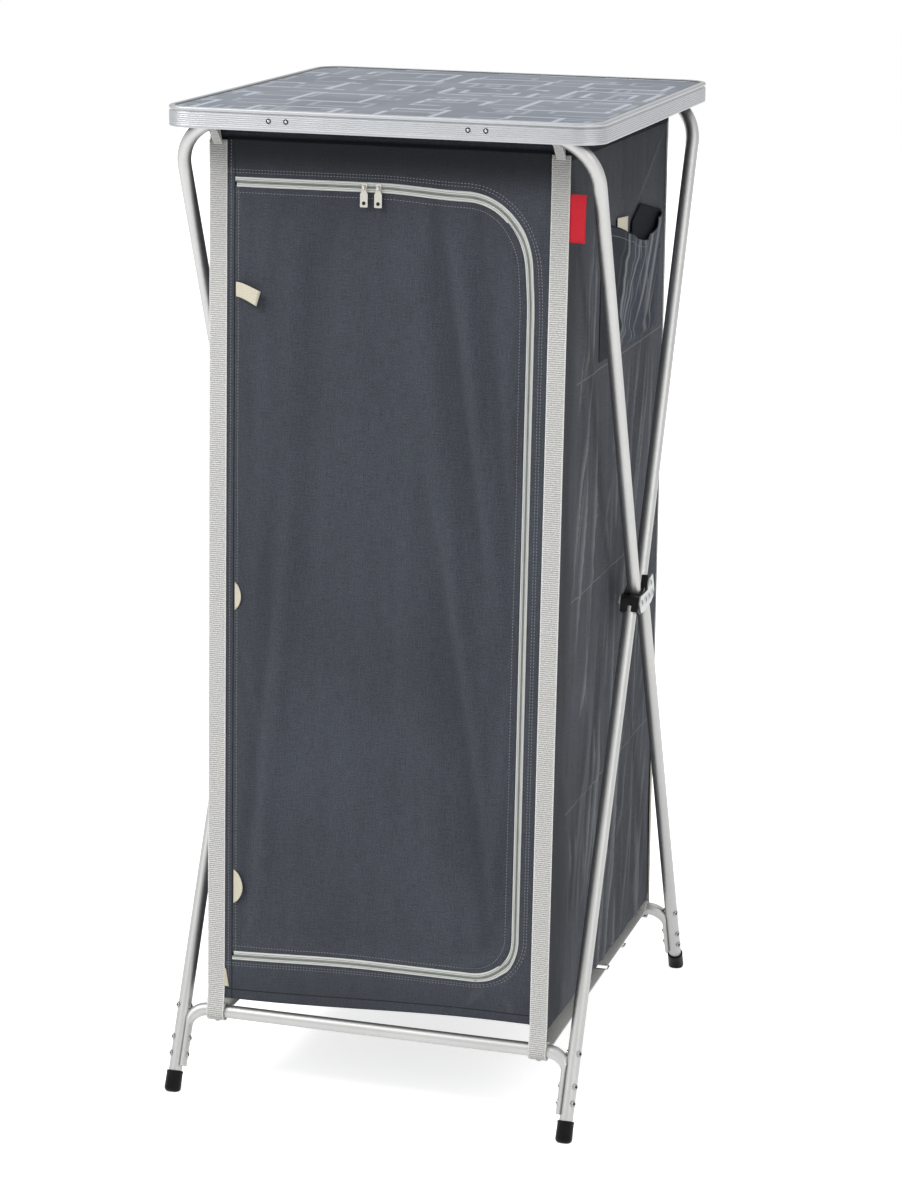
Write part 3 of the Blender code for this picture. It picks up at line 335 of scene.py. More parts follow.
def group(name, inputs, outputs):
    """A node group with named sockets; inputs maps a name to its default."""
    tree = bpy.data.node_groups.new(name, "ShaderNodeTree")
    for key, value in inputs.items():
        kind = "NodeSocketVector" if isinstance(value, tuple) else "NodeSocketFloat"
        socket = tree.interface.new_socket(name=key, in_out="INPUT", socket_type=kind)
        socket.default_value = value
    for key in outputs:
        tree.interface.new_socket(name=key, in_out="OUTPUT", socket_type="NodeSocketFloat")
    source = tree.nodes.new("NodeGroupInput")
    result = tree.nodes.new("NodeGroupOutput")
    return source.outputs, result.inputs


def use(name, **values):
    """The outputs of a node that holds one of the shared groups."""
    inputs = {key.capitalize(): value for key, value in values.items()}
    return put(tree_of(*values.values()), "ShaderNodeGroup", inputs,
               node_tree=bpy.data.node_groups[name]).outputs


def build_weave():
    """Plain weave: threads that pass over and under each other, each a little uneven."""
    given, result = group("canvas_weave", {"Place": (0.0, 0.0, 0.0), "Pitch": 0.001},
                          ("Height", "Shade"))
    place = scaled(given["Place"], maths("DIVIDE", pi, given["Pitch"]))
    parts = parts_of(place)
    across, along = wave(parts[0]), wave(parts[1])
    over = times(across, along)
    warp = noise(given["Place"], 90, 3, 0.6, (12, 0.5, 1))
    weft = noise(given["Place"], 90, 3, 0.6, (0.5, 12, 1))
    drift = maths("ADD", warp, weft)
    height = times_plus(drift, 0.7, times(over, 0.5))
    link(height, result["Height"])
    fleck = noise(given["Place"], 520, 3, 0.75)
    shade = times_plus(fleck, 0.8, times(drift, 0.35))
    link(times_plus(over, 0.05, shade), result["Shade"])


def build_stitch():
    """One row of stitches at an offset from a seam: thread mask and the row's dimple."""
    given, result = group("stitch_row", {"Distance": 0.0, "Along": 0.0, "Offset": 0.003,
                                         "Pitch": 0.0044, "Width": 0.0006}, ("Thread", "Height"))
    away = apart(given["Distance"], given["Offset"])
    line = between(away, given["Width"], times(given["Width"], 0.4))
    step = maths("FRACT", maths("DIVIDE", given["Along"], given["Pitch"]))
    thread = times(line, between(apart(step, 0.5), 0.30, 0.22))
    link(thread, result["Thread"])
    dip = between(away, times(given["Width"], 4.0), 0.0)
    link(times_plus(thread, 0.8, times(dip, -0.6)), result["Height"])


def build_wear():
    """Scuffs and handling marks: a soft mask and a fine one."""
    given, result = group("handling_wear", {"Place": (0.0, 0.0, 0.0), "Scale": 8.0},
                          ("Soft", "Fine"))
    link(between(noise(given["Place"], given["Scale"], 4.0, 0.6), 0.35, 0.70), result["Soft"])
    link(noise(given["Place"], 120, 3, 0.7, (6, 6, 1)), result["Fine"])


def build_ribs():
    """Cross ribs of webbing and the plain selvedge at its two edges."""
    given, result = group("webbing_ribs", {"Place": (0.0, 0.0, 0.0), "Pitch": 0.003,
                                           "Width": 0.025}, ("Height", "Shade"))
    parts = parts_of(given["Place"])
    across = maths("ABSOLUTE", parts[0])
    ridge = wave(maths("DIVIDE", times(parts[1], 2 * pi), given["Pitch"]))
    threads = wave(times(parts[0], 2 * pi / 0.0013))
    edge = between(across, times(given["Width"], 0.43), times(given["Width"], 0.46))
    inside = maths("SUBTRACT", 1.0, edge)
    body = times_plus(threads, 0.25, ridge)
    selvedge = wave(times(parts[1], 2 * pi / 0.0022))
    height = maths("ADD", times(body, inside), times(selvedge, times(edge, 0.5)))
    link(height, result["Height"])
    fleck = noise(given["Place"], 500, 3, 0.65)
    shade = times_plus(times(ridge, inside), 0.17, times(fleck, 0.9))
    link(times_plus(edge, 0.14, shade), result["Shade"])


def build_rectangles():
    """One layer of printed rectangle outlines, one to a cell, with gaps in their lines."""
    given, result = group("rectangle_layer", {"Place": (0.0, 0.0, 0.0), "Cell": 0.1, "Line": 0.006,
                                              "Seed": 0.0}, ("Mask",))
    seed = given["Seed"]
    shift = put(seed.id_data, "ShaderNodeCombineXYZ", {0: seed, 1: seed}).outputs[0]
    shifted = vector_maths("ADD", given["Place"], shift)
    cells = scaled(shifted, maths("DIVIDE", 1.0, given["Cell"]))
    corner = vector_maths("FLOOR", cells)
    dice = put(seed.id_data, "ShaderNodeTexWhiteNoise", {"Vector": corner},
               noise_dimensions="2D").outputs
    picks = parts_of(dice["Color"])
    local = parts_of(vector_maths("SUBTRACT", cells, corner))
    reach = []
    for axis in (0, 1):
        middle = between(picks[axis], 0, 1, 0.42, 0.58, False)
        half = between(picks[2 - axis], 0, 1, 0.20, 0.40, False)
        reach.append(maths("SUBTRACT", apart(local[axis], middle), half))
    distance = larger(*reach)
    half_line = times(maths("DIVIDE", given["Line"], given["Cell"]), 0.5)
    soft = times(half_line, 1.35)
    outline = between(maths("ABSOLUTE", distance), soft, half_line)
    inner_distance = maths("ABSOLUTE", maths("ADD", distance, 0.17))
    inner = times(between(inner_distance, soft, half_line),
                  maths("GREATER_THAN", dice["Value"], 0.66))
    both = larger(outline, inner)
    gaps = between(noise(shifted, 13, 1, 0.4), 0.40, 0.42)
    link(times(both, gaps), result["Mask"])


def build_groups():
    for name, build in (("canvas_weave", build_weave), ("stitch_row", build_stitch),
                        ("handling_wear", build_wear), ("webbing_ribs", build_ribs),
                        ("rectangle_layer", build_rectangles)):
        if name not in bpy.data.node_groups:
            build()


def material(name):
    """A new material with a Principled shader: the two of them and the place on the piece."""
    build_groups()
    made = bpy.data.materials.new(name)
    made.use_nodes = True
    shader = made.node_tree.nodes["Principled BSDF"]
    return made, shader, put(made.node_tree, "ShaderNodeTexCoord").outputs["Object"]


def own_map(shader, name):
    return put(shader.id_data, "ShaderNodeUVMap", uv_map=name).outputs[0]


def own_mark(shader, name):
    return put(shader.id_data, "ShaderNodeAttribute", attribute_name=name).outputs["Fac"]


def feed(shader, paint, rough, height, distance, strength=1.0):
    """Gives a shader its colour, its roughness and its relief."""
    relief = {"Height": height, "Distance": distance, "Strength": strength}
    normal = put(shader.id_data, "ShaderNodeBump", relief).outputs[0]
    fill(shader, {"Base Color": paint, "Roughness": rough, "Normal": normal})


def shaded(base, by):
    return tuple(c * by for c in base)


def metal(name, base, rough_low, rough_high, grain_stretch=(1, 1, 1)):
    """Bare or plated metal with faint grain and handling marks."""
    made, shader, place = material(name)
    wear = use("handling_wear", place=place, scale=9.0)
    grain = noise(place, 260, 3, 0.6, grain_stretch)
    shade = times_plus(grain, 0.5, times(wear["Soft"], 0.5))
    rough = between(wear["Fine"], 0.3, 0.7, rough_low, rough_high)
    fill(shader, {"Metallic": 1.0})
    feed(shader, mixed(shade, shaded(base, 0.90), base), rough, grain, 0.00004, 0.5)
    return made


def plastic(name, base, shine=0.34):
    """Moulded plastic with a fine eggshell face and scuffed patches."""
    made, shader, place = material(name)
    wear = use("handling_wear", place=place, scale=40.0)
    worn = tuple(c * 1.5 + 0.001 for c in base)
    fill(shader, {"Specular IOR Level": shine})
    feed(shader, mixed(wear["Soft"], base, worn), between(wear["Fine"], 0.3, 0.7, 0.34, 0.50),
         noise(place, 900, 3, 0.6), 0.00008, 0.6)
    return made


def laminate(sizes):
    """Glossy grey laminate with printed rectangle outlines in two sizes."""
    made, shader, place = material("grey_laminate_print")
    masks = []
    for scale, seed in ((1.0, 0.043), (0.68, 0.371)):
        masks.append(use("rectangle_layer", place=place, cell=sizes.cell * scale,
                         line=sizes.line_width, seed=seed)["Mask"])
    lines = larger(masks[0], times(masks[1], 0.45))
    cloud = noise(place, 2.2, 2, 0.5)
    ground = mixed(cloud, shaded(sizes.board, 0.86), sizes.board)
    fleck = noise(place, 1400, 2, 0.6)
    ground = mixed(between(fleck, 0.4, 0.8, 0, 0.10), ground, sizes.lines)
    wear = use("handling_wear", place=place, scale=5.0)
    fill(shader, {"Specular IOR Level": 0.16})
    feed(shader, mixed(lines, ground, sizes.lines), between(wear["Soft"], 0, 1, 0.36, 0.44), fleck,
         0.00003, 0.5)
    return made


def canvas(name, base, sizes, rows=(), seam_rows=(), creases=(), fade=0.10, grain=1.0,
           stitch=0.0006, gloss=1.0):
    """Woven cloth, drawn on the piece's own flat map. rows are straight stitch rows, each an
    axis, a level and where the row starts; seam_rows are offsets from the seam that the
    piece's seam map follows; creases are lap lines darkened with painted shade, each an axis
    and a level. The cloth's own marks say where a painted highlight lightens its crests and
    where painted shade darkens it."""
    made, shader, place = material(name)
    flat = own_map(shader, "weave")
    sides = parts_of(flat)
    weave = use("canvas_weave", place=flat, pitch=sizes.weave)
    streak = noise(flat, 14, 4, 0.6, (3.5, 0.35, 1))
    cloud = noise(place, 4, 2, 0.5)
    tint = times_plus(streak, 0.4, times(cloud, 0.6))
    light = [min(c * (1 + fade), 1) for c in base]
    ground = mixed(between(tint, 0.30, 0.70), shaded(base, 1 - fade), light)
    speckle = between(weave["Shade"], 0.60, 0.90, 0, 1, False)
    less, more = (mixed(1.0, ground, [1 + change * grain] * 3, "MULTIPLY")
                  for change in (-0.44, 0.44))
    ground = mixed(speckle, less, more)
    # Painted highlight: where the cloth is creased, its crests are lightened towards the crest
    # colour.
    ground = mixed(times(own_mark(shader, "ridge"), 0.85), ground, sizes.crest)
    # Painted shade: the cloth's own mark darkens it where the piece lies in shade.
    ground = mixed(own_mark(shader, "painted_shade"), ground, shaded(base, 0.12))
    height = weave["Height"]
    # Painted shade: a dark line along each lap, where one layer's edge stands on the next.
    for axis, level in creases:
        line = between(apart(sides[axis], level), 0.0013, 0.0004)
        ground = mixed(line, ground, shaded(base, 0.22))
        height = times_plus(line, -2.5, height)
    threads = []
    for axis, level, start in rows:
        thread = use("stitch_row", distance=sides[axis], along=sides[1 - axis],
                     offset=level, width=stitch)
        shown = between(sides[1 - axis], start, start + 0.002)
        threads.append((times(thread["Thread"], shown), thread["Height"]))
    if seam_rows:
        seam = parts_of(own_map(shader, "seam"))
        for offset in seam_rows:
            thread = use("stitch_row", distance=seam[1], along=seam[0], offset=offset, width=stitch)
            threads.append((thread["Thread"], thread["Height"]))
    for mask, dip in threads:
        ground = mixed(mask, ground, sizes.thread)
        height = times_plus(dip, 1.2, height)
    fill(shader, {"Sheen Weight": 0.06 * gloss, "Sheen Roughness": 0.5,
                  "Specular IOR Level": 0.30 * gloss})
    feed(shader, ground, between(weave["Shade"], 0.4, 1.1, 0.78, 0.92), height, 0.00020, 0.8)
    return made


def webbing(name, base, pitch, width):
    """Ribbed webbing that follows the strap's own map."""
    made, shader, place = material(name)
    ribs = use("webbing_ribs", place=own_map(shader, "weave"), pitch=pitch, width=width)
    light = [min(c * 1.24, 1) for c in base]
    soil = use("handling_wear", place=place, scale=14.0)
    ground = mixed(between(ribs["Shade"], 0.2, 0.75), shaded(base, 0.50), light)
    ground = mixed(times(soil["Soft"], 0.25), ground, shaded(base, 0.85))
    # Painted shade: the strap's own mark darkens it where it lies in shade.
    ground = mixed(own_mark(shader, "painted_shade"), ground, shaded(base, 0.12))
    fill(shader, {"Sheen Weight": 0.10})
    feed(shader, ground, between(ribs["Shade"], 0.2, 0.8, 0.72, 0.88), ribs["Height"], 0.00028)
    return made


# Mesh work

def run_on(made, row, offset, count=1):
    """Carries a row of edges straight on and gives its new edges."""
    for _ in range(count):
        grown = bmesh.ops.extrude_edge_only(made, edges=row)["geom"]
        verts = [v for v in grown if isinstance(v, bmesh.types.BMVert)]
        bmesh.ops.translate(made, verts=verts, vec=Vector(offset) / count)
        fresh = set(verts)
        row = [e for e in grown if isinstance(e, bmesh.types.BMEdge)
               and e.verts[0] in fresh and e.verts[1] in fresh]
    return row


def turn_on(made, row, centre, axis, angle, count):
    """Carries a row of edges round an axis and gives its new edges."""
    verts = list({v for e in row for v in e.verts})
    last = bmesh.ops.spin(made, geom=verts + row, cent=centre, axis=axis, dvec=(0, 0, 0),
                          angle=angle, steps=count, use_merge=False)["geom_last"]
    return [e for e in last if isinstance(e, bmesh.types.BMEdge)]


def merged(made):
    bmesh.ops.remove_doubles(made, verts=made.verts, dist=MERGE)


def outward(made):
    bmesh.ops.recalc_face_normals(made, faces=made.faces)


def set_at(made, place):
    bmesh.ops.transform(made, matrix=place, verts=made.verts)


def closed_up(made):
    """Merges what meets, closes open ends and turns the faces outwards."""
    merged(made)
    bmesh.ops.holes_fill(made, edges=[e for e in made.edges if e.is_boundary])
    outward(made)
    return made


def round_start(made, radius, sides, place):
    """A ring of edges to carry along."""
    bmesh.ops.create_circle(made, segments=sides, radius=radius, matrix=place)
    return made.edges[:]


def bent_tube(sides, end, bend, counts):
    """A tube from an end (x, z) to a bend round (x, z), across to the other bend and back.
    counts gives the steps along an end, round a bend and across."""
    made = bmesh.new()
    along, (x, z) = bend[1] - end[1], bend
    quarter = -pi / 2 if along > 0 else pi / 2
    row = round_start(made, TUBE_RADIUS, sides, moved(end[0], 0, end[1]))
    row = run_on(made, row, (0, 0, along), counts[0])
    row = turn_on(made, row, (x, 0, z), (0, 1, 0), quarter, counts[1])
    row = run_on(made, row, (-2 * x, 0, 0), counts[2])
    row = turn_on(made, row, (-x, 0, z), (0, 1, 0), quarter, counts[1])
    run_on(made, row, (0, 0, -along), counts[0])
    return closed_up(made)


def chained(made, points, closed=False):
    """Edges from point to point."""
    verts = [made.verts.new(point) for point in points]
    pairs = list(zip(verts, verts[1:])) + ([(verts[-1], verts[0])] if closed else [])
    return [made.edges.new(pair) for pair in pairs]


def mapped(made, at, name="weave"):
    """Draws a piece's flat map; at gives the place of a vertex on it."""
    layer = made.loops.layers.uv.new(name)
    for face in made.faces:
        for loop in face.loops:
            loop[layer].uv = at(loop.vert)


def copied(node):
    """The merged shape of a CAD node, its flat faces whole again."""
    made = bmesh.new()
    made.from_mesh(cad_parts[node].data)
    merged(made)
    bmesh.ops.dissolve_limit(made, angle_limit=radians(1.0), verts=made.verts, edges=made.edges)
    return made


def linked(name, data):
    obj = bpy.data.objects.new(name, data)
    bpy.context.scene.collection.objects.link(obj)
    return obj


def piece(name, made, body, surface, replaces=(), crease=35):
    """A finished piece from its bmesh, riding on its body."""
    mesh = bpy.data.meshes.new(name)
    made.to_mesh(mesh)
    made.free()
    mesh.shade_smooth()
    mesh.set_sharp_from_angle(angle=radians(crease))
    mesh.materials.append(surface)
    obj = linked(name, mesh)
    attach(obj, body)
    if replaces:
        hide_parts(*replaces)
    return obj


def dressed(name, node, body, surface, ease, shift=(0, 0, 0)):
    """A CAD node's own moulded or pressed shape as a piece with eased edges."""
    made = copied(node)
    bmesh.ops.translate(made, verts=made.verts, vec=shift)
    obj = piece(name, made, body, surface, [node])
    bevel = obj.modifiers.new("eased edges", "BEVEL")
    bevel.width = ease
    bevel.segments = 2
    bevel.limit_method = "ANGLE"
    bevel.angle_limit = radians(40)
    bevel.harden_normals = True
    return obj


def applied(obj):
    """Makes what the modifiers show the piece's mesh."""
    graph = bpy.context.evaluated_depsgraph_get()
    mesh = bpy.data.meshes.new_from_object(obj.evaluated_get(graph))
    obj.modifiers.clear()
    obj.data = mesh
    mesh.name = obj.name
    return obj


def finer(obj):
    """A smoother mesh for a cloth before its creases and its thickness."""
    smooth = obj.modifiers.new("finer", "SUBSURF")
    smooth.levels = smooth.render_levels = 1
    return applied(obj)


def walled(obj, thickness):
    """Gives a sheet its thickness."""
    wall = obj.modifiers.new("wall", "SOLIDIFY")
    wall.thickness = thickness
    wall.offset = 0
    return applied(obj)


def creased(obj, ridges, lay, out, rise, light=1.0):
    """Raises the cloth along its ridges and keeps how much, for a painted highlight on them.
    lay gives a point's place across and up; out is the way the ridges stand out; light is
    how strongly the painted highlight lightens them."""
    layer = obj.data.attributes.new("ridge", "FLOAT", "POINT")
    for i, vertex in enumerate(obj.data.vertices):
        value = crest(ridges, *lay(vertex.co))
        layer.data[i].value = value * light
        vertex.co += out * (rise * value)
    return obj


def paint_shade(obj, shade):
    """Keeps how much painted shade darkens the cloth at each point, 0 to 1, as shade gives it."""
    layer = obj.data.attributes.new("painted_shade", "FLOAT", "POINT")
    for i, vertex in enumerate(obj.data.vertices):
        layer.data[i].value = clamped(shade(vertex.co))
    return obj


def gathers(obj):
    """Gives a piece its own copy of its mesh."""
    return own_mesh(obj)


def cloth_grid(columns, rows, place, flat, seam=None):
    """A sheet: place gives a point and flat its place in the cut, both from shares 0 to 1."""
    made = bmesh.new()
    bmesh.ops.create_grid(made, x_segments=columns, y_segments=rows, size=0.5)
    shares = {v: (round((v.co.x + 0.5) * columns) / columns, round((v.co.y + 0.5) * rows) / rows)
              for v in made.verts}
    mapped(made, lambda v: flat(*shares[v]))
    if seam:
        mapped(made, lambda v: seam(*flat(*shares[v])), "seam")
    for vertex, at in shares.items():
        vertex.co = place(*at)
    return made


def cloth(name, grid, surface, replaces=(), body="rear_frame"):
    return piece(name, cloth_grid(*grid), body, surface, replaces, 180)


def settle(obj, held, cut, give, frames=22, gravity=0.4):
    """Cloth simulation of one sheet, which hangs between its held points and was cut as
    cut says. A point moves no further than give. The result becomes the mesh."""
    start = [v.co.copy() for v in obj.data.vertices]
    pins = obj.vertex_groups.new(name="held")
    for i, point in enumerate(start):
        weight = held(point)
        if weight > 0:
            pins.add([i], weight, "REPLACE")
    obj.shape_key_add(name="hung")
    pattern = obj.shape_key_add(name="cut")
    for i, point in enumerate(start):
        pattern.data[i].co = cut(point)
    sim = obj.modifiers.new("cloth", "CLOTH")
    options = sim.settings
    options.quality = 6
    options.mass = 0.25
    options.tension_stiffness = options.compression_stiffness = 12
    options.shear_stiffness = 6
    options.bending_stiffness = 0.4
    options.air_damping = 2.0
    options.vertex_group_mass = "held"
    options.pin_stiffness = 1.0
    options.rest_shape_key = pattern
    options.effector_weights.gravity = gravity
    sim.collision_settings.use_collision = False
    sim.collision_settings.use_self_collision = False
    sim.point_cache.frame_start = 1
    sim.point_cache.frame_end = frames
    scene = bpy.context.scene
    for number in range(1, frames + 1):
        scene.frame_set(number)
    graph = bpy.context.evaluated_depsgraph_get()
    settled = [v.co.copy() for v in obj.evaluated_get(graph).data.vertices]
    obj.modifiers.remove(sim)
    obj.shape_key_clear()
    obj.vertex_groups.clear()
    scene.frame_set(1)
    for vertex, before, after in zip(obj.data.vertices, start, settled):
        step = after - before
        if step.length > give:
            step *= give / step.length
        vertex.co = before + step
    obj.data.update()
    return obj


def at_front(x, height, out=0.0):
    """Point on the front cloth."""
    return FRONT_CLOTH @ Vector((x, height, out))


def half_depth(z):
    level = (z - CABINET_BOTTOM) / (CABINET_TOP - CABINET_BOTTOM)
    return HALF_DEPTH_BOTTOM + (HALF_DEPTH_TOP - HALF_DEPTH_BOTTOM) * level


def clamped(share):
    return min(max(share, 0), 1)


def eased(share):
    """Share from 0 to 1 with soft ends."""
    share = clamped(share)
    return share * share * (3 - 2 * share)


def foot(x, y):
    """How far the cabinet's foot hangs above or below its level: higher at the front right,
    lower at the rear."""
    front = FOOT_RISE * eased((x + 0.22) / 0.40) - 0.002 - 0.008 * eased((x - 0.222) / 0.024)
    rear = clamped(0.5 + y / (2 * HALF_DEPTH_BOTTOM))
    return front * (1 - rear) - FOOT_DROP * rear


def lowered(x, y, z):
    """Shift of a point of a wall, which follows the foot and dies away above it."""
    return foot(x, y) * eased(1 - (z - CABINET_BOTTOM) / 0.28)


def hung(x, height):
    """Where a point of the front cloth hangs: the zip's top run sags to the right, where its
    corner is drawn in, its bottom run to the left, and the foot follows the floor board."""
    top = -0.0060 * eased((x + 0.01) / 0.12) - 0.0010 * eased(-x / 0.2)
    drawn = eased(1 - abs(height - ZIP_TOP + 0.055) / 0.10) * eased((x - 0.12) / 0.06)
    x -= 0.0048 * drawn * (1 - eased((x - 0.212) / 0.02))
    low = -0.009 * eased((-x - 0.01) / 0.24)
    if height > ZIP_TOP:
        shift = top * (FRONT_HEIGHT - height) / (FRONT_HEIGHT - ZIP_TOP)
    elif height < ZIP_BOTTOM:
        near = height / ZIP_BOTTOM
        shift = low * near + foot(x, -HALF_DEPTH_BOTTOM) * (1 - near)
    else:
        reach = 0.34
        shift = (top * eased(1 - (ZIP_TOP - height) / reach)
                 + low * eased(1 - (height - ZIP_BOTTOM) / reach))
    return x, height + shift


def hang(verts):
    """Lets the points of a front piece hang as the cloth does."""
    for vertex in verts:
        at = LAID_FLAT @ vertex.co
        vertex.co = at_front(*hung(at.x, at.y), at.z)


def zip_seam(x, height):
    """Length along the zip's middle line and distance outside it of a point on the cloth."""
    top, bottom = ZIP_TOP - ZIP_TOP_CORNER, ZIP_BOTTOM + ZIP_BOTTOM_CORNER
    beside = x - ZIP_RIGHT
    if height > (top + bottom) / 2:
        right, up = x - (ZIP_RIGHT - ZIP_TOP_CORNER), height - top
        if right > 0 and up > 0:
            return ZIP_RUN + ZIP_TOP_CORNER * atan2(right, up), hypot(right, up) - ZIP_TOP_CORNER
        if beside < height - ZIP_TOP:
            return x - HEM_X, height - ZIP_TOP
        return ZIP_RUN + ZIP_TOP_CORNER * pi / 2 + top - height, beside
    run = ZIP_RUN + ZIP_TOP_CORNER * pi / 2 + top
    right, down = x - (ZIP_RIGHT - ZIP_BOTTOM_CORNER), bottom - height
    if right > 0 and down > 0:
        turn = atan2(down, right)
        return run - bottom + ZIP_BOTTOM_CORNER * turn, hypot(right, down) - ZIP_BOTTOM_CORNER
    if beside < ZIP_BOTTOM - height:
        return run - bottom + ZIP_BOTTOM_CORNER * pi / 2 - right, ZIP_BOTTOM - height
    return run - height, beside


def uneven(*values):
    """A smooth, repeatable wobble between about -1 and 1."""
    total = 0.0
    for i, value in enumerate(values):
        total += sin(value * (37.1 + 11.3 * i) + 1.7 * i)
        total += 0.6 * sin(value * (83.7 + 5.1 * i) + 0.4)
        total += 0.35 * sin(value * 171.3 + 2.1 * i)
    return total / (1.95 * len(values))


def chance(*numbers):
    """A repeatable share between 0 and 1 for some whole numbers."""
    total = sum(number * factor for number, factor in zip(numbers, (12.9898, 78.233, 37.719)))
    return sin(total + 0.5) * 43758.5453 % 1.0


def crumples(count, seed, across, up, lean, reach, width):
    """Ridges of crumpled cloth inside a rectangle, each with a middle, a lean, half a length,
    half a width and a height. across and up are its ends, the others smallest and largest."""
    found = []
    for i in range(count):
        pick = [chance(i, seed, k) for k in range(6)]
        found.append((across[0] + (across[1] - across[0]) * pick[0],
                      up[0] + (up[1] - up[0]) * pick[1],
                      lean[0] + (lean[1] - lean[0]) * pick[2],
                      reach[0] + (reach[1] - reach[0]) * pick[3] ** 1.5,
                      width[0] + (width[1] - width[0]) * pick[4], 0.35 + 0.65 * pick[5]))
    return found


def crest(ridges, across, up):
    """Height from 0 to 1 of the highest ridge at a place."""
    best = 0.0
    for middle, level, lean, reach, width, height in ridges:
        along = (up - level) / reach
        if abs(along) >= 1:
            continue
        line = middle + lean * (up - level) + 0.004 * sin(14 * up + 40 * middle)
        away = abs(across - line) / width
        if away < 1:
            best = max(best, height * (1 - along * along) * (1 - away) ** 1.4)
    return best


def arc(centre, radius, start, sweep, steps):
    """Points (x, y) round a centre, from an angle on."""
    turns = [start + sweep * i / steps for i in range(steps + 1)]
    return [(centre[0] + radius * cos(turn), centre[1] + radius * sin(turn)) for turn in turns]


def carried_round(made, profile, half_x, half_y, radius, floor, closed=True):
    """Carries a section round a rounded rectangle; x goes inwards from it and y goes up."""
    row = chained(made, [(half_x - x, radius - half_y, floor + y) for x, y in profile], closed)
    runs = ((0, 2 * (half_y - radius)), (-2 * (half_x - radius), 0),
            (0, -2 * (half_y - radius)), (2 * (half_x - radius), 0))
    corners = ((1, 1), (-1, 1), (-1, -1), (1, -1))
    for (run_x, run_y), (side_x, side_y) in zip(runs, corners):
        row = run_on(made, row, (run_x, run_y, 0), 20)
        centre = (side_x * (half_x - radius), side_y * (half_y - radius), 0)
        row = turn_on(made, row, centre, (0, 0, 1), pi / 2, 12)


def mapped_flat(made):
    """A flat map for a piece whose faces stand square: each face is drawn on its own side."""
    weave_map = made.loops.layers.uv.new("weave")
    for face in made.faces:
        normal = face.normal
        first = 1 if abs(normal.x) > abs(normal.y) else 0
        second = 1 - first if abs(normal.z) > 0.7 else 2
        for loop in face.loops:
            loop[weave_map].uv = (loop.vert.co[first], loop.vert.co[second])
    return made


def dome(made, spot, radius, rise):
    """A low round head, which points along its place's Z."""
    bmesh.ops.create_uvsphere(made, u_segments=16, v_segments=8, radius=radius,
                              matrix=spot @ Matrix.Diagonal((1, 1, rise, 1)))


def disc(made, sides, radius, depth, spot, top=None):
    bmesh.ops.create_cone(made, cap_ends=True, segments=sides, radius1=radius,
                          radius2=top or radius, depth=depth, matrix=spot)


# Operators

class CUPBOARD_OT_stage(bpy.types.Operator):
    """Makes the floor, the lights and the camera"""
    bl_idname = "cupboard.stage"
    bl_label = "Stage"

    def execute(self, context):
        sizes = context.scene.cupboard_stage
        self.floor(sizes.floor)
        self.lights(sizes)
        self.camera(sizes.lens)
        self.world()
        context.scene.view_settings.view_transform = "Standard"
        return {"FINISHED"}

    def floor(self, base):
        made = bmesh.new()
        bmesh.ops.create_grid(made, x_segments=1, y_segments=1, size=12)
        mesh = bpy.data.meshes.new("floor")
        made.to_mesh(mesh)
        made.free()
        surface = bpy.data.materials.new("pale_floor")
        surface.use_nodes = True
        tree = surface.node_tree
        tree.nodes.clear()
        place = put(tree, "ShaderNodeTexCoord").outputs["Object"]
        cloud = noise(place, 3, 2, 0.5)
        paint = mixed(cloud, shaded(base, 0.985), base)
        matte = put(tree, "ShaderNodeBsdfDiffuse", {"Color": paint}).outputs[0]
        path = put(tree, "ShaderNodeLightPath").outputs
        seen = larger(path["Is Camera Ray"], path["Is Glossy Ray"])
        away = between(vector_maths("LENGTH", place), 0.6, 1.8, 0.74, 1.0)
        glow = put(tree, "ShaderNodeEmission", {"Color": (1, 1, 1, 1),
                                                "Strength": times(seen, away)})
        both = put(tree, "ShaderNodeAddShader", {0: matte, 1: glow.outputs[0]}).outputs[0]
        put(tree, "ShaderNodeOutputMaterial", {"Surface": both})
        mesh.materials.append(surface)
        linked("floor", mesh)

    def lights(self, sizes):
        lamps = (("key", (-2.3, -2.0, 3.6), sizes.key_power, 1.6),
                 ("fill", (3.2, -1.9, 2.6), sizes.fill_power, 2.0),
                 ("overhead", (0.2, 0.6, 4.2), sizes.top_power, 3.2))
        for name, place, power, size in lamps:
            lamp = bpy.data.lights.new(name, "AREA")
            lamp.shape = "SQUARE"
            lamp.size = size
            lamp.energy = power
            obj = linked(name, lamp)
            obj.location = place
            aim = Vector((0, 0, 0.7)) - Vector(place)
            obj.rotation_mode = "QUATERNION"
            obj.rotation_quaternion = aim.to_track_quat("-Z", "Y")

    def camera(self, lens):
        data = bpy.data.cameras.new("camera")
        data.sensor_width = 36
        data.lens = lens
        data.clip_end = 60
        obj = linked("camera", data)
        turn = (turned(radians(CAMERA_YAW), "Z") @ turned(radians(90 - CAMERA_PITCH), "X")
                @ turned(radians(CAMERA_ROLL), "Z"))
        obj.matrix_world = Matrix.Translation(CAMERA_PLACE) @ turn
        bpy.context.scene.camera = obj

    def world(self):
        world = bpy.data.worlds.new("studio")
        bpy.context.scene.world = world
        world.use_nodes = True
        tree = world.node_tree
        tree.nodes.clear()
        path = put(tree, "ShaderNodeLightPath").outputs
        seen = larger(larger(path["Is Camera Ray"], path["Is Glossy Ray"]),
                      path["Is Transmission Ray"])
        way = parts_of(put(tree, "ShaderNodeTexCoord").outputs["Generated"])
        soft = between(way[2], 0.0, 0.9, 0.22, 0.60)
        strength = maths("ADD", times(maths("SUBTRACT", 1.0, seen), soft), seen)
        back = put(tree, "ShaderNodeBackground", {"Color": (1, 1, 1, 1), "Strength": strength})
        put(tree, "ShaderNodeOutputWorld", {"Surface": back.outputs[0]})


